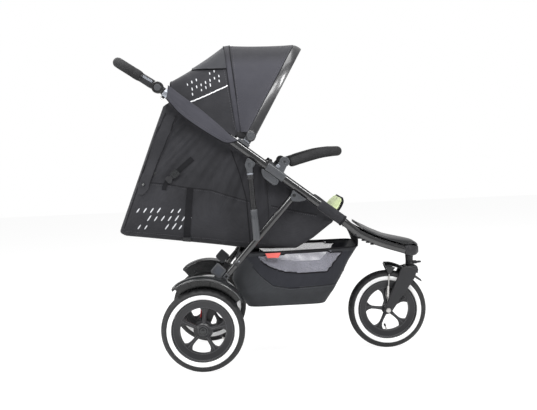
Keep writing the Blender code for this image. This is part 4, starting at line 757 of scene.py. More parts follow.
def make_fender(name, side):
    """A crowned arch with a raised spine, and a flat wall down between the wheel and the leg."""
    cx, cz = REAR_AXLE[0], REAR_AXLE[1] + 0.020
    rows = []
    for i in range(37):
        angle = math.radians(between(29.0, 128.0, i / 36))
        fade = min(1.0, (i + 0.4) / 3, (36.4 - i) / 3)
        row = []
        for j in range(19):
            t = j / 18
            crown = 0.010 * (1 - (2 * t - 1) ** 4) * (0.55 + 0.45 * fade)
            spine = 0.0016 * math.exp(-((t - 0.16) / 0.05) ** 2)
            radius = 0.160 + crown + spine
            y = side * (0.2490 + 0.0638 * t)
            row.append((cx + radius * math.cos(angle), y, cz + radius * math.sin(angle)))
        rows.append(row)
    shell = bevelled(cloth(name + "_shell", rows, 0.003), 0.0008)
    outline = [(cx + radius * math.cos(a), cz + radius * math.sin(a))
               for radius, first, last in ((0.1610, 29.5, 127.5), (0.1190, 126.5, 30.5))
               for a in np.radians(np.linspace(first, last, 40))]
    wall = side_plate("wall", outline, side, 0.2478, 0.2498, 0.0005)
    ribs = []
    for degrees in (50, 78, 106):
        a = math.radians(degrees)
        path = [(cx + r * math.cos(a), side * 0.2499, cz + r * math.sin(a))
                for r in (0.1225, 0.1570)]
        ribs.append(tube("rib", path, 0.0011))
    piece(merged(name + "_guard", shell, wall, *ribs), "rear_legs", "satin", name, angle=50)


def make_socket(name, side):
    middle = LEG_LENGTH - 0.007
    near, out, half = 0.0119, 0.042, 0.020

    def corner(a, b):
        return along(LEG_PIVOT, LEG_FOOT, middle + a, near + b)

    outline = rounded([corner(*c) for c in corners(-half, half, 0, out)], 0.006)
    window = rounded([corner(*c) for c in corners(-half + 0.006, half - 0.006, 0.007, out - 0.006)],
                     0.003)
    body = rail_plate("body", [outline], side, -0.0115, 0.0095, 0.0015)
    rim = rail_plate("rim", [outline, window], side, 0.0090, 0.0115, 0.0008)
    piece(merged(name + "_frame", body, rim), "rear_legs", "grey", name)
    ribs = []
    for i in range(8):
        a = between(-half + 0.0082, half - 0.0082, i / 7)
        path = [Vector(corner(a, b)) for b in (0.009, out - 0.008)]
        ribs.append(tube("rib", [(p.x, side * (RAIL_Y + 0.0097), p.y) for p in path], 0.0012,
                         resolution=2))
    piece(merged(name + "_ribs", *ribs), "rear_legs", "slate", slot=name)


def make_brake():
    x, z = REAR_AXLE
    sleeve = cross_tube("sleeve", REAR_AXLE, (-0.215, -0.213, -0.137, -0.135), 0.018,
                        [0.94, 1, 1, 0.94], 8)
    outline = rounded(around(REAR_AXLE, ((-0.013, 0.008), (0.011, 0.008), (0.008, 0.066),
                                         (-0.007, 0.068))), 0.005)
    lever = plate("lever", outline, -0.211, -0.139, 0.002)
    piece(merged("brake_lever", sleeve, lever), "brake", "black", "brake_pedal")
    tread = []
    for i in range(6):
        y = -0.205 + i * 0.012
        tread.append(tube("rib", [(x - 0.0075, y, z + 0.0672), (x + 0.0072, y, z + 0.0652)], 0.0022,
                          resolution=2))
    piece(merged("brake_tread", *tread), "brake", "black", slot="brake_pedal")
    outline = rounded(around(REAR_AXLE, ((-0.0125, 0.034), (-0.0065, 0.034), (-0.0045, 0.0675),
                                         (-0.0095, 0.0685))), 0.002)
    tab = plate("brake_tab", outline, -0.2135, -0.1365, 0.0012)
    piece(tab, "brake", "red", slot="brake_pedal")


for side_name, side in SIDES:
    make_rear_leg("rear_leg_" + side_name, side)
    make_gusset("leg_gusset_" + side_name, side)
    make_fender("fender_" + side_name, side)
    make_socket("accessory_socket_" + side_name, side)
make_rear_axle()
make_brake()


# Side struts


def make_strut(name, side):
    y = side * STRUT_Y
    length = math.dist(STRUT_PIVOT, STRUT_FOOT)
    split = length - 0.105
    node = "strut_tube_" + name

    def strut_tube(label, stops, radius, radii=None):
        places = [along(STRUT_PIVOT, STRUT_FOOT, d) for d in stops]
        return tube(label, [Vector((x, y, z)) for x, z in places], radius, radii, 6)

    rod = strut_tube("rod", (0.010, split - 0.001), 0.010)
    pear = around(STRUT_PIVOT, [(0.0150 * math.cos(a), 0.0150 * math.sin(a))
                                for a in map(math.radians, range(-40, 221, 13))])
    neck = [along(STRUT_PIVOT, STRUT_FOOT, 0.026, a) for a in (0.0095, -0.0095)]
    pear += neck if neck[0][0] < neck[1][0] else neck[::-1]
    hole = rounded(around(STRUT_PIVOT, corners(-0.0042, 0.0042, -0.0085, 0.0065)), 0.004)
    head = side_plate("head", [pear], side, STRUT_Y - 0.0102, STRUT_Y + 0.0070, 0.0016)
    face = side_plate("face", [pear, hole], side, STRUT_Y + 0.0066, STRUT_Y + 0.0102, 0.0010)
    piece(rod, "struts", "paint", node)
    piece(merged("strut_head_" + name, head, face), "struts", "grey", slot=node)
    clip = strut_tube("strut_clip_" + name, (0.0275, 0.0285, 0.0335, 0.0345), 0.0116,
                      [0.92, 1, 1, 0.92])
    piece(clip, "struts", "silver", slot=node)
    cuff = strut_tube("strut_cuff_" + name, (0.036, 0.0375, 0.046, 0.049), 0.0118,
                      [0.95, 1, 1, 0.88])
    piece(cuff, "struts", "black", slot=node)
    stops = [split - 0.003, split, split + 0.003]
    radii = [0.90, 1.0, 1.0]
    for i in range(5):
        base = split + 0.010 + i * 0.0045
        stops += [base, base + 0.0008, base + 0.0022, base + 0.0030]
        radii += [1.0, 0.93, 0.93, 1.0]
    stops += [length - 0.014, length - 0.003, length]
    radii += [1.0, 1.0, 0.9]
    piece(strut_tube("strut_cover_" + name, stops, 0.0125, radii), "struts", "grey",
          "strut_sleeve_" + name)


def make_strut_bracket(name, side):
    outline = rail_shape([(0.3976, -RAIL_FACE), (0.4336, -RAIL_FACE), (0.4336, -0.0392),
                          (0.4216, -0.0482), (0.4096, -0.0462), (0.4016, -0.0352)], 0.007)
    block = side_plate("block", outline, side, 0.227, 0.2503, 0.0015)
    pin = knob("pin", STRUT_PIVOT, side, 0.2480, 0.2600, 0.0042, 0.0004, steps=24)
    piece(merged(name + "_block", block, pin), "upper_frame", "grey", name)


for side_name, side in SIDES:
    make_strut(side_name, side)
    make_strut_bracket("strut_bracket_" + side_name, side)


# Rails, knuckles and latches

RAIL_END = on_rail(0.803)
BENDS = [(between(RAIL_END[0], 0.752, fx), between(RAIL_Y, 0.060, fy),
          between(RAIL_END[1], NOSE_Z, fz))
         for fx, fz, fy in ((0.21, 0.343, 0.20), (0.416, 0.567, 0.4286), (0.66, 0.769, 0.714),
                            (1.0, 1.0, 1.0))]


def lower_rail_path(side):
    bent = [(x, RAIL_Y, z) for x, z in (on_rail(0.743), on_rail(0.803))] + BENDS
    start = on_rail(0.5463)
    path = [Vector((start[0], RAIL_Y, start[1]))] + smooth_path(bent, 6)
    return [Vector((p[0], side * p[1], p[2])) for p in path]


def make_lower_rail(name, side):
    path = lower_rail_path(side)
    piece(oval_tube(name + "_tube", path, 24), "chassis", "paint", name)
    studs = []
    for i in range(12, 21, 2):
        point = path[i].copy()
        point.z -= 0.0155
        across = (path[i + 1] - path[i - 1]).normalized().cross(Vector((0, 0, 1))).normalized()
        studs.append(tube("stud", [point - across * 0.007, point + across * 0.007], 0.0034,
                          resolution=3))
    piece(merged(name + "_studs", *studs), "chassis", "black", slot=name)


def rail_section(distance, above, side, half_width, half_height, power=4.0, count=24):
    """A ring of points across the straight of the rail."""
    x, z = on_rail(distance, above)
    return section(Vector((x, side * RAIL_Y, z)), Vector((0, 1, 0)),
                   Vector((RAIL_SIN, 0, RAIL_COS)), half_width, half_height, power, count)


def make_collar(name, side):
    body = loft("body", [rail_section(d, 0, side, w, h) for d, w, h in
                         ((0.4704, 0.0118, 0.0148), (0.4712, 0.0128, 0.0158),
                          (0.4760, 0.0130, 0.0160), (0.5120, 0.0130, 0.0160),
                          (0.5360, 0.0128, 0.0158), (0.5425, 0.0121, 0.0151),
                          (0.5450, 0.0114, 0.0145), (0.5460, 0.0106, 0.0140))])
    barrel = knob("barrel", FOLD_PIVOT, side, RAIL_Y - 0.0044, RAIL_Y + 0.0044, 0.0065, 0.0006,
                  steps=28)
    root = rail_plate("root", rail_shape([(0.4716, 0.010), (0.488, 0.012), (0.480, 0.024),
                                          (0.4722, 0.024)], 0.002), side, -0.0044, 0.0044, 0.0008)
    post = rail_plate("post", rail_shape([(0.493, 0.011), (0.533, 0.011), (0.526, 0.046),
                                          (0.498, 0.046)], 0.004), side, 0.0012, 0.0108, 0.0012)
    hub = knob("hub", BUMPER_PIVOT, side, RAIL_Y + 0.0011, RAIL_Y + 0.0110, 0.0180, 0.0022, 0.0008)
    piece(merged(name + "_casting", body, barrel, root, post, hub), "chassis", "grey", name)
    centre = knob(name + "_mount_pin", BUMPER_PIVOT, side, RAIL_Y + 0.0098, RAIL_Y + 0.0122, 0.0042,
                  0.0008, steps=28)
    piece(centre, "chassis", "black", slot=name)
    outline = rail_shape(corners(0.4965, 0.5085, 0.0175, 0.0290), 0.002)
    clip = rail_plate(name + "_mount_clip", outline, side, 0.0100, 0.0118, 0.0005)
    piece(clip, "chassis", "silver", slot=name)


def make_upper_rail(name, side):
    ends = [(x, side * RAIL_Y, z) for x, z in (on_rail(0.024), on_rail(0.4697))]
    rail = oval_tube("rail", ends, 28)
    neck = side_plate("neck", [on_rail(*c) for c in corners(0.010, 0.036, -0.0095, 0.0095)], side,
                      0.2356, 0.2444, 0.0008)
    hub = knob("hub", HANDLE_HINGE, side, 0.2356, 0.2475, 0.021, 0.0018, 0.0040)
    web = [on_rail(*c) for c in ((0.458, 0.008), (0.4690, 0.008), (0.4690, 0.0225),
                                 (0.4655, 0.0225))]
    cheeks = []
    for inner, outer in ((0.2251, 0.2302), (0.2398, 0.2449)):
        cheeks.append(knob("cheek", FOLD_PIVOT, side, inner, outer, 0.0064, 0.0005, steps=28))
        cheeks.append(side_plate("web", web, side, inner, outer, 0.0006))
    piece(merged(name + "_tube", rail, neck, hub, *cheeks), "upper_frame", "paint", name)
    collar = loft(name + "_band", [rail_section(d, 0, side, w, h, 2.4) for d, w, h in
                                   ((0.0270, 0.0106, 0.0146), (0.0280, 0.0112, 0.0152),
                                    (0.0440, 0.0112, 0.0152), (0.0455, 0.0104, 0.0144))])
    piece(collar, "upper_frame", "silver", slot=name)
    x, z = on_rail(0.034, -0.0190)
    ring = [Vector((x + 0.0052 * math.cos(math.tau * i / 16), side * 0.2375,
                    z + 0.0070 * math.sin(math.tau * i / 16))) for i in range(17)]
    piece(tube(name + "_ring", ring, 0.0012, resolution=3), "upper_frame", "steel", slot=name)
    outline = rail_shape([(0.030, -0.0120), (0.042, -0.0120), (0.039, -0.0205), (0.031, -0.0205)],
                         0.002)
    keeper = side_plate(name + "_keeper", outline, side, 0.2345, 0.2405, 0.0006)
    piece(keeper, "upper_frame", "webbing", slot=name)


def make_latch(name, side):
    top = -0.0163
    outline, inset = [rail_shape([(d, top - h) for d, h in places], radius) for places, radius in
                      ((((0.461, 0.0), (0.535, 0.0), (0.538, 0.016), (0.528, 0.0255),
                         (0.483, 0.0235), (0.466, 0.012)), 0.006),
                       (((0.474, 0.0045), (0.530, 0.0045), (0.532, 0.014), (0.525, 0.0205),
                         (0.486, 0.0190), (0.474, 0.011)), 0.004))]
    body = rail_plate("body", [outline], side, -0.011, 0.0095, 0.0018)
    rim = rail_plate("rim", [outline, inset], side, 0.0085, 0.0110, 0.0010)
    screw = knob("screw", on_rail(0.488, top - 0.0115), side, RAIL_Y + 0.0080, RAIL_Y + 0.0106,
                 0.0040, 0.0007, 0.0008, 24)
    piece(merged("fold_catch_" + name, body, rim, screw), "fold_latch_" + name, "grey",
          "fold_latch_" + name)


for side_name, side in SIDES:
    make_lower_rail("lower_rail_" + side_name, side)
    make_collar("frame_collar_" + side_name, side)
    make_upper_rail("upper_rail_" + side_name, side)
    make_latch(side_name, side)


# Handle

HINGE_BUTTON = [(0.0, 0.2485), (0.0050, 0.2486), (0.0098, 0.2485), (0.0114, 0.2484),
                (0.0119, 0.2482), (0.0119, 0.2479), (0.0, 0.2479)]


def handle_point(distance, y, lift=0.0):
    c, s = math.cos(HANDLE_ANGLE), math.sin(HANDLE_ANGLE)
    return Vector((HANDLE_HINGE[0] + distance * c + lift * s, y,
                   HANDLE_HINGE[1] + distance * s - lift * c))


def handle_shape(places, radius):
    return rounded([handle_point(d, 0, lift).xz for d, lift in places], radius)


def make_handle():
    path = mirrored(smooth_path([handle_point(d, y) for d, y in
                                 ((0.066, 0.229), (0.121, 0.223), (0.151, 0.205), (0.173, 0.163),
                                  (0.182, 0.090), (0.185, 0.0))], 8))
    parts = []
    for side_name, side in SIDES:
        parts.append(side_plate("arm", handle_shape(corners(0.006, 0.0695, 0.0150, -0.0150), 0.006),
                                side, 0.2236, 0.2342, 0.0022))
        parts.append(knob("hub", HANDLE_HINGE, side, 0.2229, 0.2350, 0.0208, 0.0018, 0.0008))
        inlay = side_plate("handle_inlay_" + side_name,
                           handle_shape(corners(0.0255, 0.0650, 0.0100, 0.0025), 0.002), side,
                           0.2330, 0.2350, 0.0006)
        piece(inlay, "handle", "silver", slot="handlebar")
    parts.append(tube("core", path, 0.0120, resolution=4))
    piece(merged("handle_frame", *parts), "handle", "black", "handlebar")
    start = handle_point(0.0705, 0.2288)
    lead = [start, start + (path[1] - path[0]).normalized() * 0.0025]
    tail = [Vector((p.x, -p.y, p.z)) for p in reversed(lead)]
    inner = path[2:-2]
    radii = [0.86, 0.98] + [1.0] * len(inner) + [0.98, 0.86]
    grip = tube("grip", lead + inner + tail, 0.0183, radii, 8)
    cuffs = []
    for _, side in SIDES:
        a, b = [Vector((p.x, side * abs(p.y), p.z)) for p in (path[2], path[6])]
        cuffs.append(tube("cuff", [a + (b - a) * t for t in (0.0, 0.05, 0.5, 0.55)], 0.0187,
                          [0.93, 1.0, 1.0, 0.95], 8))
    piece(merged("handle_foam", grip, *cuffs), "handle", "foam", "handle_grip")
    for side_name, side in SIDES:
        node = "handle_button_" + side_name
        piece(turned("hinge_button_" + side_name, HINGE_BUTTON, side,
                     (HANDLE_HINGE[0], 0.0, HANDLE_HINGE[1])), node, "grey", node)


make_handle()


# Bumper bar


def make_bumper():
    x, z = BUMPER_PIVOT
    path = mirrored(smooth_path([(x + dx, y, z + dz) for dx, y, dz in
                                 ((0.010, 0.2263, -0.001), (0.026, 0.2223, -0.002),
                                  (0.070, 0.2043, 0.010), (0.130, 0.1963, 0.024),
                                  (0.177, 0.1743, 0.029), (0.195, 0.1283, 0.029),
                                  (0.203, 0.0, 0.029))], 6))
    parts = [tube("core", path, 0.0088, resolution=4)]
    for _, side in SIDES:
        parts.append(knob("hub", BUMPER_PIVOT, side, RAIL_Y - 0.0105, RAIL_Y + 0.0006, 0.0178,
                          0.0020))
    piece(merged("bumper_frame", *parts), "bumper", "black", "bumper_bar")
    inner = path[8:-8]
    ends = [0.80, 0.93, 0.99]
    radii = ends + [1.0] * (len(inner) - 6) + ends[::-1]
    piece(tube("bumper_foam", inner, 0.0174, radii, 8), "bumper", "foam", "bumper_grip")
    for side_name, side in SIDES:
        line = [Vector((p.x, side * abs(p.y), p.z)) for p in path[4:11]]
        cuff = tube("bumper_cuff_" + side_name, line, 0.0166,
                    [0.80, 0.95, 1.0, 1.0, 1.0, 1.0, 0.9], 7)
        piece(cuff, "bumper", "foam", slot="bumper_bar")


make_bumper()


# Front end

FOOTPLATE_Z = NOSE_Z + RAIL_RISE + 0.001


def slab_ring(x, edge, bottom, top, crown):
    """A ring across a crowned slab, edge to each side."""
    half = [(edge - 0.004, bottom), (edge, bottom + 0.003), (edge - 0.001, top - 0.004),
            (edge * 0.9, top - 0.001), (edge * 0.6, top + crown * 0.6)]
    return [Vector((x, y, z)) for y, z in
            (*half, (0.0, top + crown), *[(-y, z) for y, z in reversed(half)],
             (-edge * 0.5, bottom), (0.0, bottom), (edge * 0.5, bottom))]


def dense_rings(rings):
    """More rings, along smooth curves through the given ones."""
    return list(zip(*[smooth_path(column, 4) for column in zip(*rings)]))


def make_footplate():
    back = tuple(between(a, b, 0.36) for a, b in zip(BENDS[0], BENDS[1]))
    rings = []
    for (x, y, z), crown, wall in zip([back] + BENDS[1:], (0.002, 0.003, 0.003, 0.004),
                                      (0.009, 0.011, 0.009, 0.019)):
        low = z + RAIL_RISE + 0.001
        rings.append(slab_ring(x + 0.004, max(y + 0.006, 0.03), low, low + wall, crown))
    rings.append(slab_ring(HEAD_X + 0.008, 0.052, FOOTPLATE_Z, FOOTPLATE_Z + 0.011, 0.004))
    rings.append(slab_ring(HEAD_X + 0.028, 0.036, FOOTPLATE_Z - 0.008, FOOTPLATE_Z - 0.001, 0.003))
    dense = dense_rings(rings)
    piece(loft("foot_rest", dense), "chassis", "satin", "footplate", angle=30)
    line = []
    for _, side in SIDES:
        edge = [Vector((p.x, side * (p.y + 0.0002), p.z + 0.006)) for _, p, *_ in dense[:-3]]
        line.append(tube("line", edge, 0.0009))
    piece(merged("foot_rest_seam", *line), "chassis", "black", slot="footplate")


def make_nose():
    start, top = 0.7523, NOSE_Z + RAIL_RISE + 0.0007
    rings = [slab_ring(start + run, half_width, bottom, top - drop, 0.0)
             for run, half_width, bottom, drop in
             ((0.0, 0.072, 0.358, 0.0), (0.020, 0.066, 0.352, 0.0), (0.042, 0.048, 0.353, 0.0055),
              (0.056, 0.024, 0.360, 0.010))]
    piece(bevelled(loft("nose_casting", dense_rings(rings)), 0.0010), "chassis", "black",
          "nose_housing")
    profile = [(0.0100, 0.3130), (0.0138, 0.3130), (0.0148, 0.3138), (0.0148, 0.3190),
               (0.0142, 0.3200), (0.0142, 0.3380), (0.0148, 0.3390), (0.0148, 0.3508),
               (0.0142, 0.3516), (0.0100, 0.3516)]
    rows = [[(HEAD_X + r * math.cos(math.tau * i / 48), r * math.sin(math.tau * i / 48), z)
             for i in range(48)] for r, z in profile]
    head = grid("head", rows + [rows[0]], ring=True)
    ear = rounded(corners(0.787, 0.804, 0.3155, 0.3265), 0.003)
    ears = [side_plate("ear", ear, side, 0.0066, 0.0095, 0.0006) for _, side in SIDES]
    piece(merged("steering_head", head, *ears), "chassis", "black", "head_tube")
    pivot = (0.7993, 0.321)
    outline = rounded(around(pivot, ((-0.0045, -0.0038), (0.012, -0.0036), (0.0208, -0.0020),
                                     (0.0208, 0.0038), (-0.0045, 0.0038))), 0.003)
    lever = plate("lever", outline, -0.0060, 0.0060, 0.0012)
    pin = cross_tube("pin", pivot, (-0.0105, 0.0105), 0.0021, None, 3)
    piece(merged("steering_lock", lever, pin), "swivel_lock", "black", "swivel_lock_lever")


GUARD_POINTS = [(x, 0.0, z) for x, z in
                around((FRONT_AXLE[0], 2 * TYRE_RADIUS),
                       ((-0.007, 0.0310), (0.018, 0.0290), (0.052, 0.0165), (0.085, -0.0040),
                        (0.110, -0.0235), (0.132, -0.0415)))]
GUARD_CROWN = 12.0
AXLE_HEAD = [(0.0, 0.0483), (0.0040, 0.0484), (0.0046, 0.0470), (0.0072, 0.0472), (0.0086, 0.0466),
             (0.0094, 0.0450), (0.0094, 0.0432), (0.0, 0.0432)]


def make_fork():
    x, z = FRONT_AXLE
    top = 0.3105
    crown = plate("crown", rounded([(HEAD_X - 0.020, 0.3015), (HEAD_X + 0.001, 0.2935),
                                    (HEAD_X + 0.024, 0.2815), (HEAD_X + 0.027, 0.2960),
                                    (HEAD_X + 0.023, top), (HEAD_X - 0.017, top)], 0.003),
                  -0.0415, 0.0415, 0.0015)
    cup = tube("cup", [(HEAD_X, 0, h) for h in (top - 0.002, top + 0.0005, top + 0.0018)], 0.0165,
               [1.0, 1.0, 0.9], 8)
    foot = around(FRONT_AXLE, ((-0.011, 0.012), (-0.013, -0.004), (-0.004, -0.0135),
                               (0.010, -0.010)))
    neck = around((HEAD_X, top), ((0.012, -0.046), (0.022, -0.016), (-0.004, -0.001)))
    outline = rounded([(HEAD_X - 0.036, top - 0.005), *foot, *neck], 0.008)
    blades = [side_plate("blade", outline, side, 0.031, 0.043, 0.0022) for _, side in SIDES]
    piece(merged("fork_casting", crown, cup, *blades), "fork", "black", "front_fork")
    rod = cross_tube("rod", FRONT_AXLE, (-0.0440, 0.0440), 0.0055, None, 4)
    heads = [turned("head", AXLE_HEAD, side, (x, 0, z), 40) for _, side in SIDES]
    piece(merged("wheel_axle", rod, *heads), "fork", "steel", "front_axle")
    line = smooth_path(GUARD_POINTS, 6)
    rows = []
    for i, p in enumerate(line):
        taper = min(1.0, 0.72 + 0.28 * (len(line) - 1 - i) / 8)
        rows.append([(p.x, y * taper, p.z - GUARD_CROWN * (y * taper) ** 2) for y in
                     np.linspace(-0.0293, 0.0293, 15)])
    guard = bevelled(cloth("guard", rows, 0.0026), 0.0006)
    drop = GUARD_CROWN * 0.0295**2
    over = z + TYRE_RADIUS
    outline = rounded([(x - 0.007, over + 0.0305 - drop), (x + 0.034, over + 0.0220 - drop),
                       (x + 0.014, over - 0.0115), (x + 0.006, over - 0.0115)], 0.003)
    cheeks = [side_plate("cheek", outline, side, 0.0262, 0.0294, 0.0006) for _, side in SIDES]
    piece(merged("wheel_guard", guard, *cheeks), "fork", "satin", "front_mudguard")
    outline = rounded(around(FRONT_AXLE, ((-0.0018, 0.049), (0.0062, 0.049), (0.0086, 0.089),
                                          (0.0008, 0.089))), 0.002)
    for side_name, side in SIDES:
        y = side * 0.0279
        stay = tube("stay", [(x + 0.001, y, z + 0.022), (x + 0.009, y, z + 0.1355)], 0.0026,
                    resolution=4)
        clip = plate("clip", outline, y - 0.0026, y + 0.0026, 0.0008)
        piece(merged("guard_stay_" + side_name, stay, clip), "fork", "steel",
              "mudguard_stay_" + side_name)


make_footplate()
make_nose()
make_fork()


# Canopy frame

def arch(base, top, half_width, power, count):
    """Points over an arch from its left base to its right one, evenly spread."""
    fine = []
    for i in range(401):
        angle = math.pi * i / 400
        c = math.cos(angle)
        rise = max(0.0, math.sin(angle)) ** (2 / power)
        fine.append(Vector((between(base[0], top[0], rise),
                            half_width * math.copysign(abs(c) ** (2 / power), c),
                            between(base[1], top[1], rise))))
    return resampled(fine, count)


def resampled(points, count):
    """The same line with its points evenly spread."""
    runs = [0.0]
    for a, b in zip(points, points[1:]):
        runs.append(runs[-1] + (b - a).length)
    places = np.linspace(0, runs[-1], count)
    columns = [np.interp(places, runs, [p[i] for p in points]) for i in range(3)]
    return [Vector(p) for p in zip(*columns)]


def flat_line(places, count):
    """Evenly spread points along a line given by X and Z."""
    return resampled([Vector((x, 0, z)) for x, z in places], count)


def across_band(base, top):
    """The way across a bow's band, square to the bow's plane."""
    up = Vector((top[0] - base[0], 0, top[1] - base[1])).normalized()
    return Vector((up.z, 0, -up.x))


def bow(name, base, top, half_width, power, width, wall):
    centre = arch(base, top, half_width, power, 65)
    ahead = across_band(base, top)
    return loft(name, [section(point, ahead, run.cross(ahead).normalized(), width / 2, wall / 2,
                               2.3, 24) for point, run in zip(centre, directions(centre))])


# Each bow's base, top, half width and power of its arch
MID_TOP = (0.120, 1.156)
MID_BASE = (CANOPY_PIVOT[0] - 0.042, CANOPY_PIVOT[1] + 0.004)
FRONT_BOW = (CANOPY_PIVOT, (0.383, 1.143), 0.2415, 2.2)
MIDDLE_BOW = (MID_BASE, MID_TOP, 0.2190, 2.7)
PIVOT_CAP = [(0.0, 0.2476), (0.0050, 0.2476), (0.0060, 0.2468), (0.0120, 0.2472),
             (0.0140, 0.2466), (0.0148, 0.2456), (0.0148, 0.2440)]


def make_bows():
    hubs = [knob("hub", CANOPY_PIVOT, side, 0.2365, 0.2465, 0.0180, 0.0020) for _, side in SIDES]
    piece(merged("canopy_bow", bow("band", *FRONT_BOW, 0.0316, 0.0080), *hubs), "canopy_front",
          "bow", "canopy_front_bow")
    for side_name, side in SIDES:
        cap = turned("canopy_pivot_cap_" + side_name, PIVOT_CAP, side,
                     (CANOPY_PIVOT[0], 0.0, CANOPY_PIVOT[1]))
        piece(cap, "canopy_front", "grey", slot="canopy_front_bow")
    link = rounded([*around(MID_BASE, ((-0.011, -0.004), (0.002, -0.010))),
                    *around(CANOPY_PIVOT, ((0.0, -0.011), (0.0, 0.011))),
                    *around(MID_BASE, ((0.009, 0.016), (-0.012, 0.010)))], 0.004)
    tunnel = bow("canopy_rib_tunnel", *MIDDLE_BOW, 0.0218, 0.0058)
    links = []
    for _, side in SIDES:
        links.append(side_plate("link", link, side, 0.2156, 0.2224, 0.0012))
        links.append(knob("hub", CANOPY_PIVOT, side, 0.2156, 0.2224, 0.0128, 0.0012))
    piece(merged("canopy_rib", *links), "canopy_middle", "black", "canopy_middle_bow")
    piece(tunnel, "canopy_middle", "hood", slot="canopy_middle_bow")


def make_clamp(name, side):
    foot = RAIL_FACE + 0.006
    outline = rail_shape(corners(0.333, 0.379, RAIL_FACE, RAIL_FACE + 0.010), 0.003)
    base = side_plate("base", outline, side, 0.2262, 0.2438, 0.0010)
    post = side_plate("post", rail_shape([(0.345, foot), (0.375, foot), (0.375, 0.054),
                                          (0.353, 0.054)], 0.004), side, 0.2228, 0.2362, 0.0015)
    hub = knob("hub", CANOPY_PIVOT, side, 0.2228, 0.2362, 0.0160, 0.0015)
    piece(merged(name + "_casting", base, post, hub), "upper_frame", "grey", name)
    lever = side_plate(name + "_catch", rail_shape(corners(0.350, 0.372, 0.0265, 0.0320), 0.002),
                       side, 0.2355, 0.2385, 0.0006)
    piece(lever, "upper_frame", "silver", slot=name)


make_bows()
for side_name, side in SIDES:
    make_clamp("canopy_clamp_" + side_name, side)


# Helpers for cloth


def wrinkle(x, y, z, scale, seed=0.0):
    return noise.noise(Vector((x * scale + seed, y * scale, z * scale)))


def cut_size(rows):
    """The width, length and area of a sheet before it was hung."""
    rows = [[Vector(p) for p in row] for row in rows]
    width = max(sum((b - a).length for a, b in zip(row, row[1:])) for row in rows)
    columns = list(zip(*rows))
    length = max(sum((b - a).length for a, b in zip(col, col[1:])) for col in columns)
    area = 0.0
    for row, after in zip(rows, rows[1:]):
        for a, b, c, d in zip(row, row[1:], after[1:], after):
            area += (b - a).cross(d - a).length / 2 + (b - c).cross(d - c).length / 2
    return width, length, area


def declare(item, rows):
    width, length, area = cut_size(rows)
    min(area, width * length)


def tree_of(item):
    return BVHTree.FromPolygons([v.co for v in item.data.vertices],
                                [p.vertices[:] for p in item.data.polygons])


def ribbon(name, hits, width, thick, tree=None, lift=0.0002):
    """A flat strip along hits on a surface, drawn onto the tree's surface if one is given.

    The width is a number, or a list with one for each hit.
    """
    def settled(point, normal):
        if tree is None:
            return point
        return point + normal * (tree.find_nearest(point)[0] - point).dot(normal)

    rings = []
    runs = directions([place for place, _ in hits])
    for i, ((place, normal), run) in enumerate(zip(hits, runs)):
        wide = width[i] if isinstance(width, list) else width
        across = normal.cross(run).normalized() * wide / 2
        a, b = settled(place + across, normal), settled(place - across, normal)
        middle = settled((a + b) / 2, normal)
        base, face = normal * lift, normal * (lift + thick)
        rings.append([a + base, a + face, middle + face, b + face, b + base, middle + base])
    return loft(name, rings)


def cord_line(name, hits, radius, lift=0.0):
    return tube(name, [place + normal * lift for place, normal in hits], radius)


def stitches(name, hits, length=0.0042, gap=0.0030):
    """A row of short raised threads along a line of hits."""
    line = [place + normal * 0.0003 for place, normal in hits]
    total = sum((b - a).length for a, b in zip(line, line[1:]))
    count = max(2, int(total / (length + gap)))
    fine = resampled(line, count * 2 + 1)
    return merged(name, *[tube("thread", [fine[2 * i], fine[2 * i + 1]], 0.0005, resolution=0)
                          for i in range(count)])


def lowered(hits, drop):
    return [(place - Vector((0, 0, drop)), normal) for place, normal in hits]


# Seat bag and front sleeve

BAG_OUTLINE = [(0.2475, 0.4135), (0.176, 0.417), (0.076, 0.434), (-0.050, 0.452), (-0.180, 0.470),
               (-0.270, 0.482), (-0.291, 0.494), (-0.238, 0.626), (-0.190, 0.745), (-0.148, 0.850),
               (-0.112, 0.936)]
FRONT_OUTLINE = [(0.2483, 0.4135), (0.344, 0.412), (0.405, 0.446), (0.473, 0.498)]
CAD_WALL = 0.004
SEAT_WALL = 0.0022
CANOPY_WALL = 0.0018


def bag_side(top, down, length, hem_y, fold, pleat, side, seed):
    """One wall of the bag, from its hem down to the floor's edge, with soft folds."""
    half = [(0.0, hem_y), (min(0.010, 0.2 * length), hem_y),
            (min(0.026, 0.4 * length), 0.205 + fold * 0.4), (0.45 * length + 0.01, 0.203 + fold),
            (0.72 * length, 0.197 + fold), (0.92 * length, 0.185), (length, 0.165)]
    wall = []
    for p in smooth_path([(d, y, 0) for d, y in half], 4):
        place = top + down * p.x
        loose = min(1.0, p.x / 0.06) * min(1.0, max(0.0, length - p.x) / 0.06)
        hanging = math.sin(math.pi * min(1.0, p.x / (0.62 * length))) * min(1.0, length / 0.2)
        soft = 0.0042 * wrinkle(place.x, side, place.z * 0.22, 17.0, seed)
        soft += 0.0014 * wrinkle(place.x, side, place.z * 0.6, 52.0, seed)
        y = min(p.y + soft * loose + pleat * hanging, hem_y)
        wall.append(Vector((place.x, side * y, place.z)))
    return wall


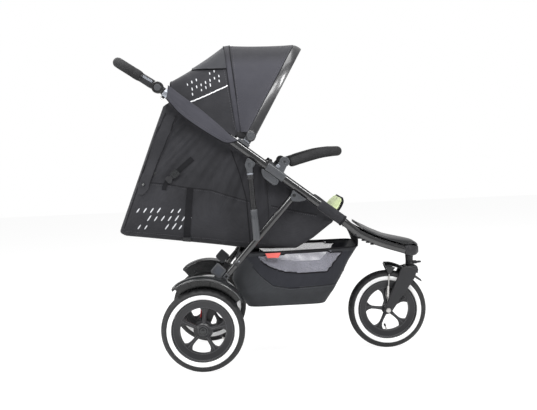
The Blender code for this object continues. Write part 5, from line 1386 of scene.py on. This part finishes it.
def bag_rows(outline, start, end, collar_run, above, folds, stations, seed):
    """The grid of a bag hung between the rails.

    The hem runs down the rail from start to end, above its middle line, and is narrower over
    the collar's share of that run.
    """
    rows = []
    for i, bottom in enumerate(flat_line(outline, stations)):
        t = i / (stations - 1)
        hem_y = RAIL_Y - (0.013 if t < collar_run else 0.010) - CAD_WALL / 2 - 0.0004
        x, z = on_rail(between(start, end, t), above)
        top = Vector((x, 0, z))
        length = (bottom - top).length
        down = (bottom - top).normalized()
        fold = 0.004 * math.sin(folds * math.tau * t) * min(1.0, length / 0.2)
        swing = 2.2 * noise.noise(Vector((t * 9.0, seed, 0)))
        pleat = 0.0020 * math.sin(3.4 * folds * math.tau * t + swing)
        left = bag_side(top, down, length, hem_y, fold, pleat, 1, seed)
        right = bag_side(top, down, length, hem_y, fold, pleat, -1, seed)
        middle = []
        for share in (0.66, 0.33, 0.0, -0.33, -0.66):
            sag = 0.006 * (1 - share**2) + 0.0015 * wrinkle(bottom.x, share, bottom.z, 12.0, seed)
            middle.append(top + down * (length + sag) + Vector((0, 0.165 * share, 0)))
        rows.append(left + middle + right[::-1])
    return rows


def side_hits(tree, places, side, count):
    """Places on a surface seen square from one side, at even steps along a line of X and Z."""
    hits = []
    for p in flat_line(places, count):
        place, normal, _, _ = tree.ray_cast(Vector((p.x, side * 0.5, p.z)), Vector((0, -side, 0)))
        if place is not None:
            hits.append((place, normal if normal.y * side > 0 else -normal))
    return hits


def stud(name, hit, radius, thick):
    """A press stud that stands on a surface."""
    place, normal = hit
    return tube(name, [place + normal * d for d in (-0.0005, thick * 0.5, thick)], radius,
                [1.0, 1.0, 0.72], 5)


def slanted_bars(tree, origin, steps, size, side, count, lean, seed):
    """Short reflective bars in staggered rows.

    steps are the run from bar to bar, the rise from row to row, the rise from bar to bar and
    the run back from row to row. size is a bar's length and width, count the bars and the rows.
    """
    bars = []
    for row in range(count[1]):
        for column in range(count[0]):
            pick = wrinkle(column * 1.7, row * 2.3, 0.5, 1.0, seed)
            if pick < -0.28:
                continue
            x = origin[0] + steps[0] * (column + 0.5 * (row % 2)) - steps[3] * row
            z = origin[1] + steps[1] * row + steps[2] * column
            reach = size[0] * (0.75 + 0.5 * pick)
            ends = [(x, z), (x + reach * math.cos(lean), z + reach * math.sin(lean))]
            hits = side_hits(tree, ends, side, 5)
            if len(hits) == 5:
                widths = [size[1] * share for share in (0.5, 1, 1, 1, 0.35)]
                bars.append(ribbon("bar", hits, widths, 0.0004))
    return merged("bars", *bars)


def bag_trims(tree, side_name, side):
    """The seams, flap, buckle, strap and print on one side of the bag, in turn with their looks."""
    def hits(count, *places):
        return side_hits(tree, places, side, count)

    def cord(label, line, radius, lift=0.0):
        return cord_line(label + side_name, line, radius, lift), "webbing"

    def strip(label, line, width, thick, look="webbing", flat=True, lift=0.0002):
        return ribbon(label + side_name, line, width, thick, tree if flat else None, lift), look

    seam = hits(60, (-0.215, 0.678), (-0.107, 0.662), (-0.040, 0.648), (0.050, 0.634),
                (0.110, 0.612), (0.183, 0.588))
    yield cord("bag_seam_", seam, 0.0011)
    yield stitches("bag_stitches_" + side_name, lowered(seam, 0.006)), "thread"
    edge = hits(40, (0.124, 0.772), (0.150, 0.690), (0.171, 0.596), (0.178, 0.440))
    yield cord("bag_edge_", edge, 0.0017)
    hem = hits(60, (-0.262, 0.499), (-0.050, 0.471), (0.076, 0.453), (0.235, 0.432))
    yield stitches("bag_hem_stitches_" + side_name, hem), "thread"
    yield cord("bag_back_piping_", hits(50, (-0.130, 0.868), (-0.176, 0.750), (-0.222, 0.634),
                                        (-0.270, 0.512)), 0.0018)

    line = hits(40, (-0.083, 0.906), (-0.140, 0.782), (-0.196, 0.652), (-0.205, 0.628))
    widths = [0.046] * 34 + [0.0455, 0.043, 0.039, 0.033, 0.024, 0.010]
    yield strip("bag_flap_", line, widths, 0.0026, "bag", lift=0.0008)
    run = (line[-8][0] - line[0][0]).normalized()
    for offset, key in ((-0.0195, "outer_"), (0.0195, "inner_")):
        aside = Vector((-run.z, 0, run.x)) * offset
        trim = hits(40, *[((p + aside).x, (p + aside).z) for p, _ in line[:35]])
        yield cord("bag_flap_piping_" + key, trim, 0.0014, 0.0034)
    yield stud("bag_flap_snap_" + side_name, line[-6], 0.0058, 0.0062), "satin"
    spare = hits(2, (-0.150, 0.704), (-0.149, 0.703))[0]
    yield stud("bag_snap_" + side_name, spare, 0.0055, 0.0034), "satin"

    web = hits(14, (-0.014, 0.750), (-0.045, 0.725), (-0.075, 0.700))
    yield strip("bag_web_", web, 0.019, 0.0017)
    yield strip("bag_buckle_socket_", hits(9, (-0.067, 0.707), (-0.089, 0.688)),
                [0.019, 0.022, 0.024, 0.025, 0.025, 0.025, 0.024, 0.022, 0.020], 0.0085, "satin",
                flat=False)
    yield strip("bag_buckle_prong_", hits(9, (-0.090, 0.687), (-0.108, 0.672)),
                [0.014, 0.014, 0.016, 0.024, 0.026, 0.026, 0.025, 0.022, 0.018], 0.0065, "black",
                flat=False)
    tail = hits(8, (-0.107, 0.673), (-0.118, 0.655), (-0.120, 0.642))
    yield strip("bag_web_tail_", tail, 0.016, 0.0017)
    strap_line = hits(36, (-0.027, 0.645), (-0.039, 0.550), (-0.0495, 0.462))
    yield strip("bag_strap_", strap_line, 0.023, 0.0020)
    yield strip("bag_strap_buckle_", hits(6, (-0.0485, 0.470), (-0.0500, 0.457)), 0.029, 0.0060,
                "black", flat=False)
    bars = slanted_bars(tree, (-0.222, 0.506), steps=(0.0245, 0.0300, -0.0012, 0.0),
                        size=(0.026, 0.0042), side=side, count=(8, 3), lean=math.radians(52),
                        seed=4.0 + side)
    bars.name = "bag_print_" + side_name
    yield bars, "print"


def make_seat_bag():
    rows = bag_rows(BAG_OUTLINE, start=0.469, end=0.066, collar_run=0.10, above=-0.004, folds=5,
                    stations=97, seed=3.0)
    bag = cloth("seat_bag_cloth", rows, SEAT_WALL, 1)
    tree = tree_of(bag)
    extras = [piece(item, "upper_frame", look, slot="seat_bag") for side_name, side in SIDES
              for item, look in bag_trims(tree, side_name, side)]
    piece(bag, "upper_frame", "bag", "seat_bag", angle=80)
    declare(bag, rows)


def make_seat_front():
    rows = bag_rows(FRONT_OUTLINE, start=0.4715, end=0.770, collar_run=0.46, above=-0.001, folds=0,
                    stations=41, seed=8.0)
    front = cloth("seat_front_cloth", rows, SEAT_WALL, 1)
    tree = tree_of(front)

    def add(item, look):
        piece(item, "chassis", look, slot="seat_front")

    for side_name, side in SIDES:
        seam = side_hits(tree, [(0.258, 0.571), (0.330, 0.552), (0.420, 0.531)], side, 40)
        add(cord_line("front_seam_" + side_name, seam, 0.0011), "webbing")
        add(stitches("front_stitches_" + side_name, lowered(seam, 0.006)), "thread")
        rings = []
        for t in np.linspace(0.0, 1.0, 25):
            swell = min(1.0, 0.76 + 4.5 * t, 0.80 + 4.0 * (1 - t))
            ring = rail_section(between(0.699, 0.802, t), 0.0, side, 0.0162 * swell,
                                0.0195 * swell, 2.3, 28)
            rings.append([p + Vector((0, 0, 1)) * 0.0016 * wrinkle(p.x, p.y * 3, p.z, 38.0, side)
                          for p in ring])
        add(loft("rail_sleeve_" + side_name, rings, 1), "bag")
        lip = [rail_section(d, 0.0, side, w, w * 1.18, 2.3) for d, w in
               ((0.7965, 0.0150), (0.7985, 0.0172), (0.8030, 0.0174), (0.8050, 0.0152))]
        add(loft("rail_sleeve_lip_" + side_name, lip), "webbing")
    piece(front, "chassis", "bag", "seat_front", angle=80)
    declare(front, rows)


# Liners and harness

LINER_Y = 0.150
LINER_THICK = 0.018
QUILT_Y = 0.100
QUILT_DEPTH = 0.0035
QUILT_WIDTH = 0.0050


def floor_height(x):
    outline = FRONT_OUTLINE if x > 0.2479 else BAG_OUTLINE[:6][::-1]
    return table_value(outline, x) + CAD_WALL / 2 + 0.0006


def pad_ring(x, z, lean, thick, inset):
    """A section across a pad, leaning back by an angle."""
    ring = []
    for i in range(48):
        angle = math.tau * i / 48
        c, s = math.cos(angle), math.sin(angle)
        y = (LINER_Y - inset) * math.copysign(abs(c) ** 0.34, c)
        up = thick / 2 + (thick / 2 - inset) * math.copysign(abs(s) ** 0.8, s)
        ring.append((x - math.sin(lean) * up, y, z + math.cos(lean) * up))
    return ring


def puffed(item, cap=0.005):
    """The same pad blown up a little by cloth simulation."""
    item = with_modifier(item, "REMESH", mode="VOXEL", voxel_size=0.006)
    rest = np.empty(len(item.data.vertices) * 3)
    item.data.vertices.foreach_get("co", rest)
    rest = rest.reshape(-1, 3)
    modifier = item.modifiers.new("Cloth", "CLOTH")
    settings = modifier.settings
    settings.use_pressure = True
    settings.uniform_pressure_force = 4.0
    settings.quality = 5
    settings.effector_weights.gravity = 0.0
    scene = bpy.context.scene
    for step in range(1, 21):
        scene.frame_set(step)
    swollen = item.evaluated_get(bpy.context.evaluated_depsgraph_get()).to_mesh()
    place = np.empty(len(swollen.vertices) * 3)
    swollen.vertices.foreach_get("co", place)
    move = place.reshape(-1, 3) - rest
    size = np.linalg.norm(move, axis=1, keepdims=True)
    move *= np.minimum(1.0, cap / np.maximum(size, 1e-9))
    item.modifiers.remove(modifier)
    item.data.vertices.foreach_set("co", (rest + move).ravel())
    item.data.update()
    scene.frame_set(1)
    return item


def quilted(item, lines):
    """Sewn channels across the pad, pressed into its upper side."""
    item = smoothed(item)
    for vertex in item.data.vertices:
        if vertex.normal.z < 0.1 and vertex.normal.x > -0.4:
            continue
        near = min(abs(vertex.co.x - x) for x in lines)
        near = min(near, abs(abs(vertex.co.y) - QUILT_Y))
        vertex.co -= vertex.normal * QUILT_DEPTH * math.exp(-((near / QUILT_WIDTH) ** 2))
    return item


def make_liners():
    stations = np.linspace(-0.250, 0.2462, 41)
    rings = [pad_ring(x, floor_height(x) + 0.003, 0.0, LINER_THICK - 0.006, 0.004)
             for x in stations]
    back = quilted(puffed(loft("back_pad", rings)), np.arange(-0.19, 0.24, 0.072))
    piece(back, "upper_frame", "lime", "back_liner", angle=80)
    lip = [((0.484, 0.512), 32, 0.028), ((0.508, 0.530), 55, 0.044), ((0.525, 0.555), 75, 0.043),
           ((0.532, 0.577), 95, 0.034), ((0.527, 0.593), 125, 0.016)]
    keys = [(x, floor_height(x), 0.0, LINER_THICK) for x in (0.2500, 0.290, 0.344, 0.405, 0.455)]
    keys += [(x, z, math.radians(lean), thick) for (x, z), lean, thick in lip]
    line = smooth_path([(x, z, lean) for x, z, lean, _ in keys], 5)
    thick = [v for a, b in zip(keys, keys[1:]) for v in np.linspace(a[3], b[3], 5, endpoint=False)]
    thick.append(keys[-1][3])
    rings = [pad_ring(p.x, p.y, p.z, max(0.009, t - 0.003), 0.006) for p, t in zip(line, thick)]
    front = quilted(puffed(loft("seat_pad", rings), 0.004), np.arange(0.30, 0.46, 0.060))
    finish_mesh(front, ["lime", "webbing"], 80)
    edge = [Vector((p.x + REAR_AXLE_X, 0, p.y)) for p in line if p.x > 0.47]
    paint_faces(front, 1, lambda c: min((Vector((c.x, 0, c.z)) - p).length for p in edge) < 0.0165)
    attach(front, "chassis")
    name_slot(front, "seat_liner", None)


STRAP_WIDTH = 0.025


def strap(places, width=STRAP_WIDTH, thick=0.0017):
    """A strap through places, flat on its back."""
    return ribbon("strap", [(Vector(p), Vector((0, 0, 1))) for p in places], width, thick)


def make_harness():
    x = 0.300
    z = floor_height(x) + 0.0006 + LINER_THICK + 0.001
    outline = rounded(around((x, z), ((-0.023, 0.0), (0.023, 0.0), (0.020, 0.011),
                                      (-0.020, 0.011))), 0.004)
    body = plate("body", outline, -0.0185, 0.0185, 0.0016)
    press = tube("press", [(x, 0, z + h) for h in (0.0095, 0.0122, 0.0128)], 0.0095,
                 [1, 1, 0.85], 8)
    piece(merged("harness_clasp", body, press), "chassis", "satin", "harness_buckle")
    straps = [strap([(between(x, 0.285, i / 23), side * between(0.016, 0.128, i / 23),
                      z + 0.0015 + 0.003 * math.sin(math.pi * (i / 23))) for i in range(24)])
              for _, side in SIDES]
    crotch = [between(x + 0.018, 0.350, i / 11) for i in range(12)]
    straps.append(strap([(cx, 0, floor_height(cx) + LINER_THICK + 0.0022) for cx in crotch]))
    piece(merged("harness_straps", *straps), "chassis", "webbing", slot="harness_buckle")
    pads = []
    for _, side in SIDES:
        places = []
        for i in range(36):
            px = between(-0.110, 0.232, i / 35)
            places.append((px, side * between(0.062, 0.044, i / 35),
                           floor_height(px) + LINER_THICK + 0.0006))
        pads.append(strap(places))
        pads.append(smoothed(strap(places[4:22], [0.030, 0.040] + [0.045] * 14 + [0.040, 0.030],
                                   0.0065)))
    piece(merged("shoulder_straps", *pads), "upper_frame", "webbing", slot="back_liner")


# Canopy cloth

REAR_EDGE_TOP = (-0.078, 1.030)
CAD_ANGLES = (3, 8, 16, 25, 35, 45, 56, 67, 78, 90)


def arch_place(base, top, half_width, power, degrees):
    angle = math.radians(degrees)
    rise = math.sin(angle) ** (2 / power)
    spread = max(0.0, math.cos(angle)) ** (2 / power)
    return Vector((between(base[0], top[0], rise), half_width * spread,
                   between(base[1], top[1], rise)))


def arch_line(base, top, half_width, power):
    """Points over a bow that match the canopy's rear edge one for one."""
    angles = [0.7, 1.7]
    for a, b in zip(CAD_ANGLES, CAD_ANGLES[1:]):
        angles += [a, (a + b) / 2]
    return mirrored([arch_place(base, top, half_width, power, a) for a in angles + [90]])


def canopy_edge():
    """The rear panel's edge, up one rail and over the top to the other."""
    side_y, above = RAIL_Y - 0.001, 0.0158
    half = []
    for i in range(6):
        x, z = on_rail(between(0.285, 0.045, i / 5), between(above, 0.020, max(0, i - 3) / 2))
        half.append(Vector((x, side_y, z)))
    for share, drop in ((0.97, 0.018), (0.84, 0.008), (0.52, 0.002), (0.0, 0.0)):
        half.append(Vector((REAR_EDGE_TOP[0], side_y * share, REAR_EDGE_TOP[1] - drop)))
    dense = smooth_path(mirrored(half), 2)[:19]
    low = [Vector((*on_rail(d, above), side_y)).xzy for d in (0.318, 0.301)]
    return mirrored(low + dense)


def canopy_rows(first, last, trims, lifts, leans, sag, steps, seed):
    """The grid of a cloth between two arches, from just inside their edges.

    trims are how far it starts from the arches' lines, leans the ways across their bands where
    not straight to the other arch, and lifts how far over the bands' middles.
    """
    rows = []
    for step in range(steps + 1):
        t = step / steps
        row = []
        for a, b in zip(first, last):
            run = (b - a).normalized()
            ends = []
            for end, trim, lift, lean in ((a, trims[0], lifts[0], leans[0]),
                                          (b, -trims[1], lifts[1], leans[1])):
                out = (end - Vector((end.x, 0, CANOPY_PIVOT[1]))).normalized()
                ends.append(end + (lean or run) * trim + out * lift)
            point = ends[0].lerp(ends[1], t)
            middle = Vector((point.x, 0, CANOPY_PIVOT[1]))
            out = (point - middle).normalized()
            low = max(0.0, 1 - (point.z - 0.82) / 0.16)
            soft = 0.0022 * wrinkle(point.x * 0.5, point.y * 0.4, point.z * 2.2, 14.0, seed)
            row.append(point - out * (sag - soft * (0.3 + low)) * 4 * t * (1 - t))
        rows.append(row)
    return rows


def surface_point(rows, t, k):
    """A place on a grid of points, and the way it faces, t along the rows and k along a row."""
    t = min(max(t, 0.0), 0.9999) * (len(rows) - 1)
    k = min(max(k, 0.0), 0.9999) * (len(rows[0]) - 1)
    i, j = int(t), int(k)
    a, b = rows[i][j], rows[i][j + 1]
    c, d = rows[i + 1][j], rows[i + 1][j + 1]
    u, v = t - i, k - j
    normal = (b - a + d - c).cross(c - a + d - b).normalized()
    place = (a * (1 - v) + b * v) * (1 - u) + (c * (1 - v) + d * v) * u
    if normal.dot(place - Vector((place.x, 0, CANOPY_PIVOT[1]))) < 0:
        normal = -normal
    return place, normal


def level_k(rows, t, height):
    """How far along a row the surface reaches a height."""
    k = 0.0
    while k < 0.5 and surface_point(rows, t, k)[0].z < height:
        k += 0.002
    return k


def seam_hits(rows, t):
    """A line just above a canopy panel, along one of its rows."""
    hits = [surface_point(rows, t, k) for k in np.linspace(0.02, 0.98, 160)]
    return [(place + normal * 0.0008, normal) for place, normal in hits]


FLAP_Z = 1.0605


def make_flap(rows):
    """The rolled flap's grid, that lies on the upper part of the rear panel's."""
    flap_rows = []
    for i in range(11):
        t = between(0.0, 0.60, i / 10)
        start = level_k(rows, t, FLAP_Z)
        row = []
        for j in range(41):
            place, normal = surface_point(rows, t, between(start, 1 - start, j / 40))
            edge = min(j, 40 - j) / 40
            roll = math.exp(-((edge / 0.02) ** 2)) * math.sin(math.pi * min(1, t / 0.6))
            row.append(place + normal * (0.0032 + 0.0030 * roll))
        flap_rows.append(row)
    return flap_rows


def make_canopy():
    middle = arch_line(*MIDDLE_BOW)
    front_rows = canopy_rows(middle, arch_line(*FRONT_BOW), trims=(0.0108, 0.0158),
                             lifts=(0.0022, 0.0026), leans=(None, across_band(*FRONT_BOW[:2])),
                             sag=0.0035, steps=12, seed=5.0)
    rear_rows = canopy_rows(middle, canopy_edge(), trims=(0.0108, 0.0), lifts=(0.0022, 0.0),
                            leans=(None, None), sag=0.004, steps=14, seed=9.0)
    front_items, rear_items = [], []

    def add(items, item, look, replaces=()):
        part = "front" if items is front_items else "rear"
        finish_mesh(item, look, 80)
        items.append(item)
        name_slot(item, replaces, None if replaces else "canopy_" + part + "_panel")
        return item

    hood = add(front_items, cloth("canopy_front_cloth", front_rows, CANOPY_WALL, 1), "hood",
               "canopy_front_panel")
    shade = cloth("canopy_rear_cloth", rear_rows, CANOPY_WALL, 1)
    tree = tree_of(shade)
    add(rear_items, shade, "bag", "canopy_rear_panel")
    flap_rows = make_flap(rear_rows)
    flap = add(rear_items, cloth("canopy_flap", flap_rows, 0.0020, 1), "strip")
    for name, line in (("left", [row[0] for row in flap_rows]),
                       ("right", [row[-1] for row in flap_rows]), ("back", flap_rows[-1])):
        add(rear_items, tube("canopy_flap_trim_" + name, line, 0.0017), "webbing")
    for name, side in SIDES:
        line = []
        for i in range(25):
            t = between(0.985, 0.03, i / 24)
            share = level_k(rear_rows, t, between(0.944, 1.000, i / 24))
            line.append(surface_point(rear_rows, t, share if side > 0 else 1 - share))
        add(rear_items, ribbon("canopy_piping_" + name, line, 0.0040, 0.0014, lift=0.0008),
            "piping")
        bars = slanted_bars(tree, (-0.001, 0.970), steps=(0.0158, 0.0180, 0.0074, 0.0085),
                            size=(0.0125, 0.0036), side=side, count=(7, 3),
                            lean=math.radians(100), seed=6.0 + side)
        bars.name = "canopy_print_" + name
        add(rear_items, bars, "print")
    for items, name, rows, t in ((front_items, "front_stitches_inner", front_rows, 0.05),
                                 (front_items, "front_stitches_outer", front_rows, 0.94),
                                 (rear_items, "rear_stitches", rear_rows, 0.05)):
        add(items, stitches("canopy_" + name, seam_hits(rows, t), 0.0050, 0.0040), "thread")
    back_edge = [surface_point(rear_rows, 1.0, k)[0] for k in np.linspace(0.10, 0.90, 90)]
    add(rear_items, tube("canopy_rear_binding", back_edge, 0.0022), "webbing")
    for items, start, end, bodies in (
            (front_items, MID_TOP, FRONT_BOW[1], ("canopy_middle", "canopy_front")),
            (rear_items, REAR_EDGE_TOP, MID_TOP, ("upper_frame", "canopy_middle"))):
        for item in items:
            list(bodies)
            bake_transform(item)
    front_trims = [item for item in front_items if item is not hood]
    rear_trims = [item for item in rear_items if item not in (shade, flap)]
    declare(hood, front_rows)
    declare(shade, rear_rows)
    declare(flap, flap_rows)

    ahead = across_band(MID_BASE, MID_TOP)
    centre = arch(*MIDDLE_BOW, 97)
    for offset, name in ((-0.0106, "rear"), (0.0106, "front")):
        line = []
        for point, run in list(zip(centre, directions(centre)))[2:95]:
            out = run.cross(ahead).normalized()
            if out.dot(point - Vector((point.x, 0, CANOPY_PIVOT[1]))) < 0:
                out = -out
            line.append(point + ahead * offset + out * 0.0022)
        piece(tube("canopy_rib_seam_" + name, line, 0.0020), "canopy_middle",
              "webbing", slot="canopy_middle_bow")


SKIRT_TOP = [(-0.085, 1.008), (-0.020, 0.955), (0.028, 0.916), (0.088, 0.861), (0.123, 0.826),
             (0.150, 0.806)]
SKIRT_LOW = [(-0.091, 0.960), (-0.045, 0.906), (0.025, 0.851), (0.094, 0.806), (0.120, 0.799),
             (0.150, 0.806)]


def make_skirt(side_name, side):
    """A leaf of cloth over the upper rail, piped along its low edge."""
    name = "canopy_skirt_" + side_name
    top, low = [resampled(smooth_path([(x, 0, z) for x, z in edge], 6), 31)
                for edge in (SKIRT_TOP, SKIRT_LOW)]
    rows = []
    for a, b in zip(top, low):
        row = []
        for j in range(9):
            p = a.lerp(b, j / 8)
            soft = 0.0012 * wrinkle(p.x, side, p.z, 30.0, 2.0)
            puff = 0.0026 * math.sin(math.pi * (j / 8)) * min(1.0, (a - b).length / 0.03)
            row.append(Vector((p.x, side * (0.2464 + puff + max(-0.0004, soft)), p.z)))
        rows.append(row)
    item = cloth(name + "_cloth", rows, CANOPY_WALL, 1)
    inset = [(row[6] + Vector((0, side * 0.0010, 0)), Vector((0, side, 0))) for row in rows[1:-2]]
    trim = tube(name + "_piping", [row[-1] for row in rows], 0.0021, resolution=3)
    upper = tube(name + "_upper_hem", [row[0] for row in rows], 0.0012)
    thread = stitches(name + "_stitches", inset)
    piece(item, "upper_frame", "panel", name, angle=80)
    trims = [piece(extra, "upper_frame", look, slot=name)
             for extra, look in ((trim, "webbing"), (upper, "panel"), (thread, "thread"))]
    declare(item, rows)


# Basket

# How far up, X at the back and the front, and Y at the back and the front
BASKET_LEVELS = ((0.0, 0.160, 0.444, 0.165, 0.150), (0.25, 0.126, 0.478, 0.188, 0.165),
                 (0.51, 0.108, 0.508, 0.197, 0.165), (0.76, 0.119, 0.535, 0.199, 0.160),
                 (1.0, 0.139, 0.570, 0.200, 0.150))
BASKET_LOW, BASKET_HIGH = 0.204, 0.405
BASKET_STEPS = 176
WINDOW = [(0.197, 0.3915), (0.511, 0.3930), (0.453, 0.324), (0.375, 0.320), (0.320, 0.325),
          (0.284, 0.333), (0.243, 0.349), (0.212, 0.372)]
DARK_NET = [(0.160, 0.3915), (0.572, 0.3930), (0.479, 0.274), (0.396, 0.270), (0.313, 0.268),
            (0.254, 0.280), (0.210, 0.319), (0.185, 0.350)]


def inside(outline, x, z):
    hit = False
    for (x0, z0), (x1, z1) in zip(outline, outline[1:] + outline[:1]):
        if (z0 > z) != (z1 > z) and x < x0 + (x1 - x0) * (z - z0) / (z1 - z0):
            hit = not hit
    return hit


def basket_ring(rise):
    """A ring of points round the basket at a share of its height, with soft waves."""
    z = between(BASKET_LOW, BASKET_HIGH, rise)
    back, front, back_y, front_y = [
        table_value([(level[0], level[i]) for level in BASKET_LEVELS], rise) for i in (1, 2, 3, 4)]
    outline = rounded([(back, -back_y), (front, -front_y), (front, front_y), (back, back_y)],
                      0.05, 8)
    ring = resampled([Vector((x, y, z)) for x, y in outline + outline[:1]], BASKET_STEPS + 1)[:-1]
    for p in ring:
        along_side = math.sin(math.pi * min(1.0, max(0.0, (p.x - back) / (front - back))))
        p.z -= 0.003 * rise * along_side
        soft = math.copysign(0.0022, p.y) * wrinkle(p.x, p.y, p.z * 0.4, 22.0, 7.0)
        p.y += soft * min(1.0, 5 * (1 - rise))
    return ring


def basket_part(name, whole, is_net):
    """The faces of the basket inside its net windows, or the others."""
    shape = bmesh.new()
    shape.from_mesh(whole.data)
    drop = []
    for face in shape.faces:
        c = face.calc_center_median()
        if (abs(c.y) > 0.120 and inside(WINDOW, c.x, c.z)) != is_net:
            drop.append(face)
    bmesh.ops.delete(shape, geom=drop, context="FACES")
    if is_net:
        bmesh.ops.subdivide_edges(shape, edges=shape.edges[:], cuts=1, use_grid_fill=True)
    return from_bmesh(name, shape)


def make_basket():
    levels = [basket_ring(rise) for rise in np.linspace(1.0, 0.0, 30)]
    centre = Vector((0.302, 0, BASKET_LOW))
    floor = [[centre + (p - centre) * share - Vector((0, 0, 0.002 * (1 - share)))
              for p in levels[-1]] for share in (0.86, 0.68, 0.48, 0.26, 0.06)]
    rows = levels + floor
    whole = grid("basket_whole", rows, ring=True)
    net = with_modifier(basket_part("basket_net", whole, True), "WIREFRAME", thickness=0.0019,
                        use_even_offset=False, use_replace=True, use_boundary=True)
    walls = basket_part("basket_cloth", whole, False)
    bpy.data.objects.remove(whole)
    walls = thickened(walls, SEAT_WALL)
    tree = tree_of(walls)
    finish_mesh(walls, ["basket", "net_dark"], 60)
    dark = [(x + REAR_AXLE_X, z) for x, z in DARK_NET]
    paint_faces(walls, 1, lambda c: abs(c.y) > 0.10 and inside(dark, c.x, c.z))
    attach(walls, "chassis")
    name_slot(walls, "basket", None)

    def add(item, look):
        piece(item, "chassis", look, slot="basket")

    add(net, "mesh")
    add(tube("basket_binding", levels[0] + levels[0][:1], 0.0030, resolution=3), "webbing")
    for side_name, side in SIDES:
        band = []
        for p in flat_line(WINDOW + WINDOW[:1], 90):
            place, normal, _, _ = tree.find_nearest(Vector((p.x, side * 0.19, p.z)))
            band.append((place, normal if normal.y * side > 0 else -normal))
        add(cord_line("basket_window_trim_" + side_name, band, 0.0024), "webbing")
        line = side_hits(tree, DARK_NET[1:], side, 70)
        add(cord_line("basket_seam_" + side_name, line, 0.0010), "webbing")
        add(stitches("basket_stitches_" + side_name, lowered(line, 0.005)), "thread")
    skin = max(-tree.find_nearest(Vector((0.257, -0.20, 0.392)))[0].y, 0.2015)
    tag = rounded([(0.229, 0.4005), (0.285, 0.4005), (0.277, 0.3830), (0.237, 0.3830)], 0.0015)
    add(side_plate("basket_tab", [tag], -1, skin + 0.0004, skin + 0.0024, 0.0005), "coral")
    width, length, _ = cut_size(rows)


def make_basket_strap():
    """The cloth panel from the basket's front edge up to the rails."""
    x, y, z = BENDS[0]
    top = z - RAIL_RISE - GAP
    rows = []
    for i in range(9):
        t = i / 8
        forward = between(0.5710, x + 0.0015, t) + 0.001 * math.sin(math.pi * t)
        height = between(BASKET_HIGH + 0.0008, top - 0.0008, t)
        rows.append([Vector((forward, (2 * j / 32 - 1) * between(0.110, y, t), height))
                     for j in range(33)])
    item = cloth("basket_front_strap", rows, SEAT_WALL)
    piece(item, "chassis", "webbing", "basket_strap", angle=60)
    declare(item, rows)


make_seat_bag()
make_seat_front()
make_liners()
make_harness()
make_canopy()
for side_name, side in SIDES:
    make_skirt(side_name, side)
make_basket()
make_basket_strap()


# Floor and light

LIGHTS = (("key", (-0.5, -2.5, 3.1), (0, 0, 0.6), (3.0, 0.9), 84.0),
          ("top", (0.3, 0.2, 3.6), (0, 0, 0.5), (2.6, 1.6), 46.0),
          ("over", (1.6, -1.9, 2.65), (0.2, -0.2, 0.65), (0.5, 0.9), 34.0),
          ("behind", (-1.6, -0.25, 2.8), (-0.05, -0.1, 0.5), (0.4, 1.6), 24.0),
          ("left", (-3.0, -1.3, 1.5), (0, 0, 0.7), (1.0, 1.8), 30.0),
          ("front", (2.8, -1.4, 1.8), (0.1, 0, 0.5), (1.2, 1.8), 22.0),
          ("back", (-1.6, 2.6, 2.4), (0, 0, 0.7), (1.6, 1.6), 36.0))


def ray_mix(tree, output, shaders, glossy, scale):
    """Links a mix of two shaders to the output, the second for rays that see it straight.

    glossy is the second's share in reflections, and scale the most that it gets.
    """
    path = add_node(tree, "LightPath").outputs

    def maths(operation, a, b):
        return add_node(tree, "Math", {0: a, 1: b}, operation=operation).outputs[0]

    share = path["Is Camera Ray"]
    if glossy:
        share = maths("MAXIMUM", share, maths("MULTIPLY", path["Is Glossy Ray"], glossy))
    share = maths("MULTIPLY", maths("MAXIMUM", share, path["Is Transmission Ray"]), scale)
    mix = add_node(tree, "MixShader", {"Fac": share, 1: shaders[0], 2: shaders[1]})
    add_node(tree, output, {"Surface": mix.outputs[0]})


def node_tree_of(data):
    data.use_nodes = True
    data.node_tree.nodes.clear()
    return data.node_tree


def make_stage():
    floor = grid("floor", [[(-9, -9, 0), (9, -9, 0)], [(-9, 9, 0), (9, 9, 0)]])
    material = bpy.data.materials.new("floor")
    tree = node_tree_of(material)
    matt = add_node(tree, "BsdfDiffuse", {"Color": (0.86, 0.86, 0.86, 1)}).outputs[0]
    glow = add_node(tree, "Emission", {"Strength": 1.28}).outputs[0]
    ray_mix(tree, "OutputMaterial", (matt, glow), 0.0, 0.70)
    floor.data.materials.append(material)

    world = bpy.data.worlds.new("studio")
    tree = node_tree_of(world)
    soft, white = [add_node(tree, "Background", {"Color": (1, 1, 1, 1), "Strength": power})
                   .outputs[0] for power in (0.24, 1.0)]
    ray_mix(tree, "OutputWorld", (soft, white), 0.25, 1.0)
    bpy.context.scene.world = world

    for name, place, aim, size, power in LIGHTS:
        light = bpy.data.lights.new(name, "AREA")
        light.shape = "RECTANGLE"
        light.size, light.size_y = size
        light.energy = power
        item = new_item(name, light)
        item.location = place
        item.rotation_euler = (Vector(aim) - Vector(place)).to_track_quat("-Z", "Y").to_euler()
    bpy.context.scene.view_settings.view_transform = "Standard"


make_stage()
